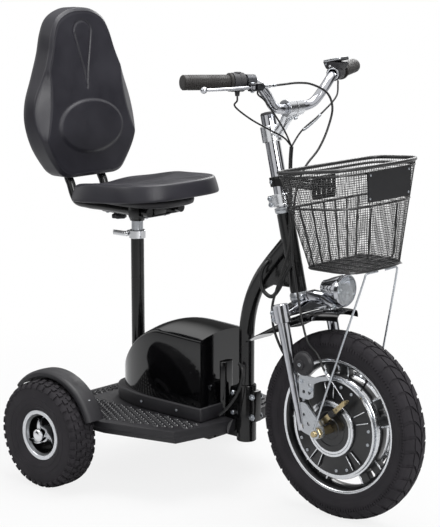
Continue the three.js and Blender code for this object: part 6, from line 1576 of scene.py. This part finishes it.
# Dark anodised casting: a grey metal sheen over a 1.5 mm sandy grain.
dark_casting, tree, shader, spot = finish("dark_anodised_casting", "#3a3b3e", 0.35, 0.8)
sandy = add(tree, "TexNoise", {"Vector": spot, "Scale": 1000 / 1.5, "Detail": 2})
relief(tree, shader, sandy.outputs[0], 0.2, 0.06)
lever_z, adjuster_x = 970.75, 537.03
pivot = at(532.53, -168, lever_z)
length = 20 * stretch
band = turned([(11.6, 0), (16.2, 0), (17, 0.8), (17, length - 0.8), (16.2, length), (11.6, length)], 48)
solids = [(moved(band, on_bar(-1, 136)), dark_casting)]
hub = bar_at(146, -1)
perch = block((hub.x + 9, -155, hub.z - 10), (pivot.x - 4, -137, hub.z + 1), 3)
solids.append((perch, dark_casting))
left_x, right_x = pivot.x - 7.5, pivot.x + 7.5
cheek = rounded(oblong(left_x, -177, right_x, -136.5), 5)
for low_z, high_z in ((pivot.z - 8, pivot.z - 4.9), (pivot.z + 4.9, pivot.z + 8)):
    solids.append((eased(slab(cheek, low_z, high_z, "XY"), 0.8, 2, 60), dark_casting))
body = block((left_x, -158, pivot.z - 5.5), (right_x, -136.2, pivot.z + 5.5), 1.5)
solids.append((body, dark_casting))
solids.append((bolt(pivot + Vector((0, 0, 8)), (0, 0, 1), 4.6, 2.6), bolt_zinc))
solids.append((bolt(pivot + Vector((0, 0, -8)), (0, 0, -1), 4.2, 3, socket=False), bolt_zinc))
solids.append((bolt(hub + Vector((2, 0, -16)), (0, 0, -1), 3.4, 3), bolt_zinc))
barrel = turned([(2.7, 0), (4.4, 0), (4.4, 8), (3.4, 9), (3.4, 11), (4.5, 12), (4.5, 20), (4, 21),
                 (3.6, 26), (2.7, 26)], 24)
solids.append((moved(barrel, aim((0, 1, 0), at(adjuster_x, -136, lever_z))), bright_alloy))
piece("brake_perch_cast", solids, "steering", ["brake_lever_mount"])

ball = bar_at(285, -1) + Vector((50, 0, -4.5))
out = hypot(ball.x - pivot.x, ball.y - pivot.y)
lever_at = Matrix.Translation(pivot) @ Matrix.Rotation(atan2(ball.y - pivot.y, ball.x - pivot.x), 4, "Z")
rings = []
for k in range(25):
    t = k / 24
    wide, tall = 4.6 - 1.4 * t + 0.7 * sin(pi * t), 4.3 - 1.1 * t
    bow = 7 * 2 * t * (1 - t) * 1.1
    ring = [(out * t, bow + wide * cos(a), tall * sin(a)) for a in [2 * pi * i / 20 for i in range(20)]]
    rings.append([lever_at @ Vector(place) for place in ring])
solids = [(loft(rings), deep_chrome)]
knob_end = turned([(0, -7.4), (3.4, -6.6), (6, -4.4), (7.3, -1.5), (7.3, 1.5), (6, 4.4), (3.4, 6.6),
                   (0, 7.4)], 32)
solids.append((moved(knob_end, lever_at @ Matrix.Translation((out, 0, 0))), deep_chrome))
eye = turned([(3.3, -4.4), (6.4, -4.4), (7, -3.8), (7, 3.8), (6.4, 4.4), (3.3, 4.4)], 32)
solids.append((moved(eye, lever_at), deep_chrome))
piece("brake_lever_blade", solids, "hand_brake", ["brake_lever"])


# DISPLAY AND SWITCH
# A moulded wedge clamped on the left of the bar under a metal-faced lid, with the horn button on
# the side that faces the rider.

# Smoked window: black and mirror smooth under a clear coat, faintly hazed by 25 mm smears.
screen, tree, shader, spot = finish("smoked_display_window", "#101418", 0.06, coat_weight=1.0)
haze = add(tree, "TexNoise", {"Vector": spot, "Scale": 1000 / 25, "Detail": 3})
hazed = add(tree, "MapRange", {"Value": haze.outputs[0], 1: 0.3, 2: 0.7, 3: 0.04, 4: 0.12})
tree.links.new(hazed.outputs[0], shader.inputs["Roughness"])
# White moulded ABS: pale and evenly glossy, with an orange peel that is barely seen.
white_switch, tree, shader, spot = finish("white_moulded_abs", "#e8e9ea", 0.3, coat_weight=0.3)
faint = add(tree, "TexNoise", {"Vector": spot, "Scale": 1000 / 10, "Detail": 2})
relief(tree, shader, faint.outputs[0], 0.1, 0.05)
seat_on_bar = bar_at(159, 1)
wedge = [(-14, 8), (14, 8), (18, 13), (24.6, 25), (-24.6, 25), (-18, 13)]
wedge = rounded([(seat_on_bar.x + x, seat_on_bar.z + z) for x, z in wedge], 4)
solids = [(eased(slab(wedge, 140.4, 177.6, "XZ"), 2, 3, 50), moulded_pp)]
lid_at = Matrix.Translation(seat_on_bar + Vector((0, 0, 29))) @ Matrix.Rotation(-radians(12), 4, "Y")
lid = rounded(oblong(-24.6, -18.6, 24.6, 18.6), 6)
solids.append((moved(eased(slab(lid, -4, 1.4, "XY"), 1.4, 2, 50), lid_at), moulded_pp))
facing_sheet = eased(slab([p * 1.01 for p in lid], -1.6, 3.6, "XY"), 1, 2, 50)
solids.append((moved(facing_sheet, lid_at), bright_alloy))
pane = rounded(oblong(-17, -9, 10, 9), 3)
solids.append((moved(slab(pane, 3.2, 3.9, "XY"), lid_at), screen))
length = 38 * stretch
clamp = turned([(11.6, 0), (16, 0), (17, 1), (17, length - 1), (16, length), (11.6, length)], 48)
solids.append((moved(clamp, on_bar(1, 140)), moulded_pp))
collar = turned([(11.4, -8), (13.6, -8), (14.2, -7), (14.2, -1), (13.6, 0), (11.4, 0)], 40)
solids.append((moved(collar, on_bar(1, 140)), bright_alloy))
solids.append((bolt(at(498, 140.4, 994), (0, -1, 0), 3.4, 1.6), white_switch))
solids.append((bolt(at(486, 140.4, 999), (0, -1, 0), 2.4, 1.2), bolt_zinc))
nose = rod(seat_on_bar + Vector((-12, 0, -4)), seat_on_bar + Vector((-17.4, 0, -4)), 8, width=0.8)
solids.append((nose, moulded_pp))
piece("display_case", solids, "steering", ["display_unit"])
cap = turned([(0, 0), (5.9, 0), (5.9, 5.4), (5.2, 6.6), (2.6, 7), (0, 6.6)], 32)
place = aim((-1, 0, 0), seat_on_bar + Vector((-16, 0, -4)))
piece("horn_push_button", [(moved(cap, place), rubber_grommet)], "horn_switch", ["horn_button"])


# CABLES
# The brake's cable with its bare inner wire, and a loom that joins the wires from throttle, lever
# switch and display and runs down the fork to the hub motor. A loop carries them to the frame, and
# a lead goes from the column's foot into the deck. All are sheathed in black PVC.

# PVC sheath: black with a soft shine, scuffed duller every 4 mm or so.
cable_pvc, tree, shader, spot = finish("black_pvc_sheath", "#0d0d0e", 0.38)
scuff = add(tree, "TexNoise", {"Vector": spot, "Scale": 1000 / 4, "Detail": 3})
scuffed = add(tree, "MapRange", {"Value": scuff.outputs[0], 1: 0.3, 2: 0.7, 3: 0.3, 4: 0.5})
tree.links.new(scuffed.outputs[0], shader.inputs["Roughness"])

stop_top = stop_at - stop_way * 7.3
brake_route = [(adjuster_x, -105.2, lever_z), (adjuster_x, -79.5, lever_z), (546, -30, 972),
               (552, 10, 966), (566, 46, 945), (574, 54, 915), (572, 42, 870), (570, 12, 825),
               (566, -28, 790), (562, -52, 745), (558, -58, 690), (556, -60, 600), (560, -52, 540),
               (572, -54, 490), (588, -60, 445), (610, -66, 405), (638, -68, 384)]
brake_route = [at(*p) for p in brake_route] + [stop_at - stop_way * 21, stop_top]
solids = [(tube(through(brake_route, 5), 2.5, 4), cable_pvc)]
solids.append((rod(stop_top - stop_way * 2, arm_tip - stop_way * 7.2, 1, sides=12), bright_alloy))
for t in (0.25, 0.6):
    place = (stop_at + stop_way * 8).lerp(arm_tip, t)
    solids.append((rod(place, place + stop_way * 6, 1.7, sides=16), bolt_zinc))
solids.append((rod(stop_top - stop_way * 9, stop_top - stop_way * 0.4, 3.3, width=0.5), bolt_zinc))
ferrule = rod(at(adjuster_x, -105.1, lever_z), at(adjuster_x, -96, lever_z), 3.3, width=0.5)
solids.append((ferrule, bolt_zinc))
piece("brake_cable_outer", solids, "steering", ["brake_cable"])

loom_top, loom_end = at(504, -2, 826), at(524, -24, 592)
upper_tie, lower_tie = at(505, -6, 717), at(514, -16, 650)
sleeve_top, sleeve_foot = at(520, 86, 896), at(510, 24, 858)
routes = [
    (4.5, [loom_top, at(500, 0, 796), upper_tie, lower_tie, loom_end]),
    (2, [middle + Vector((0, 0, -30.3)), middle + Vector((0, 0, -39)), at(478, -164, 928),
         at(488, -130, 900), at(500, -70, 868), at(503, -24, 846), loom_top]),
    (2, [at(528.53, -146, 962.4), at(528.53, -146, 954.8), at(530, -128, 942), at(524, -84, 905),
         at(514, -36, 862), loom_top]),
    (2, [seat_on_bar + Vector((6, 0, -17.3)), seat_on_bar + Vector((6, 0, -27.2)), at(518, 140, 930),
         sleeve_top, sleeve_foot, loom_top]),
    (3, [lower_tie, at(522, -34, 590), at(510, -48, 530), at(498, -58, 470), at(508, -66, 430),
         at(528, -74, 400), at(547, -74, 372), at(566, -68, 350),
         at(592, -64, 300), at(624, -62, 250), at(641, -62, 222)]),
]
solids = [(tube(through(route, 6), radius, 4), cable_pvc) for radius, route in routes]
shares = (0.1, 0.3, 0.5, 0.7, 0.9)
sleeve = [sleeve_foot.lerp(sleeve_top, t) - Vector((0, 0, 3 * sin(pi * t))) for t in shares]
solids.append((tube(sleeve, 3.4, 4), satin_steel))
for place in (upper_tie, lower_tie):
    solids.append((rod(place + Vector((0, 0, -3)), place + Vector((0, 0, 3)), 6, width=1), cable_pvc))
piece("wire_loom", solids, "steering", ["wire_harness"])

loom_way = (loom_end - lower_tie).normalized()
loop = [loom_end + loom_way * 0.6, loom_end + loom_way * 20, at(512, -32, 540), at(496, -34, 505),
        at(475, -35, 486), at(453, -36, 497), at(445, -36, 528), at(450, -31, 552), at(452, -20, 560.4),
        at(452, -10, 560.4)]
foot_lead = [at(372, -26, 310), at(395, -40, 298), at(392, -50, 256), at(366, -58, 212), at(342, -62, 189)]
sheaths = [(tube(through(loop, 6), 4.5, 5), cable_pvc), (tube(through(foot_lead, 6), 3.6, 4), cable_pvc)]
piece("cable_loop_sheath", sheaths, "chassis", ["cable_loop"])
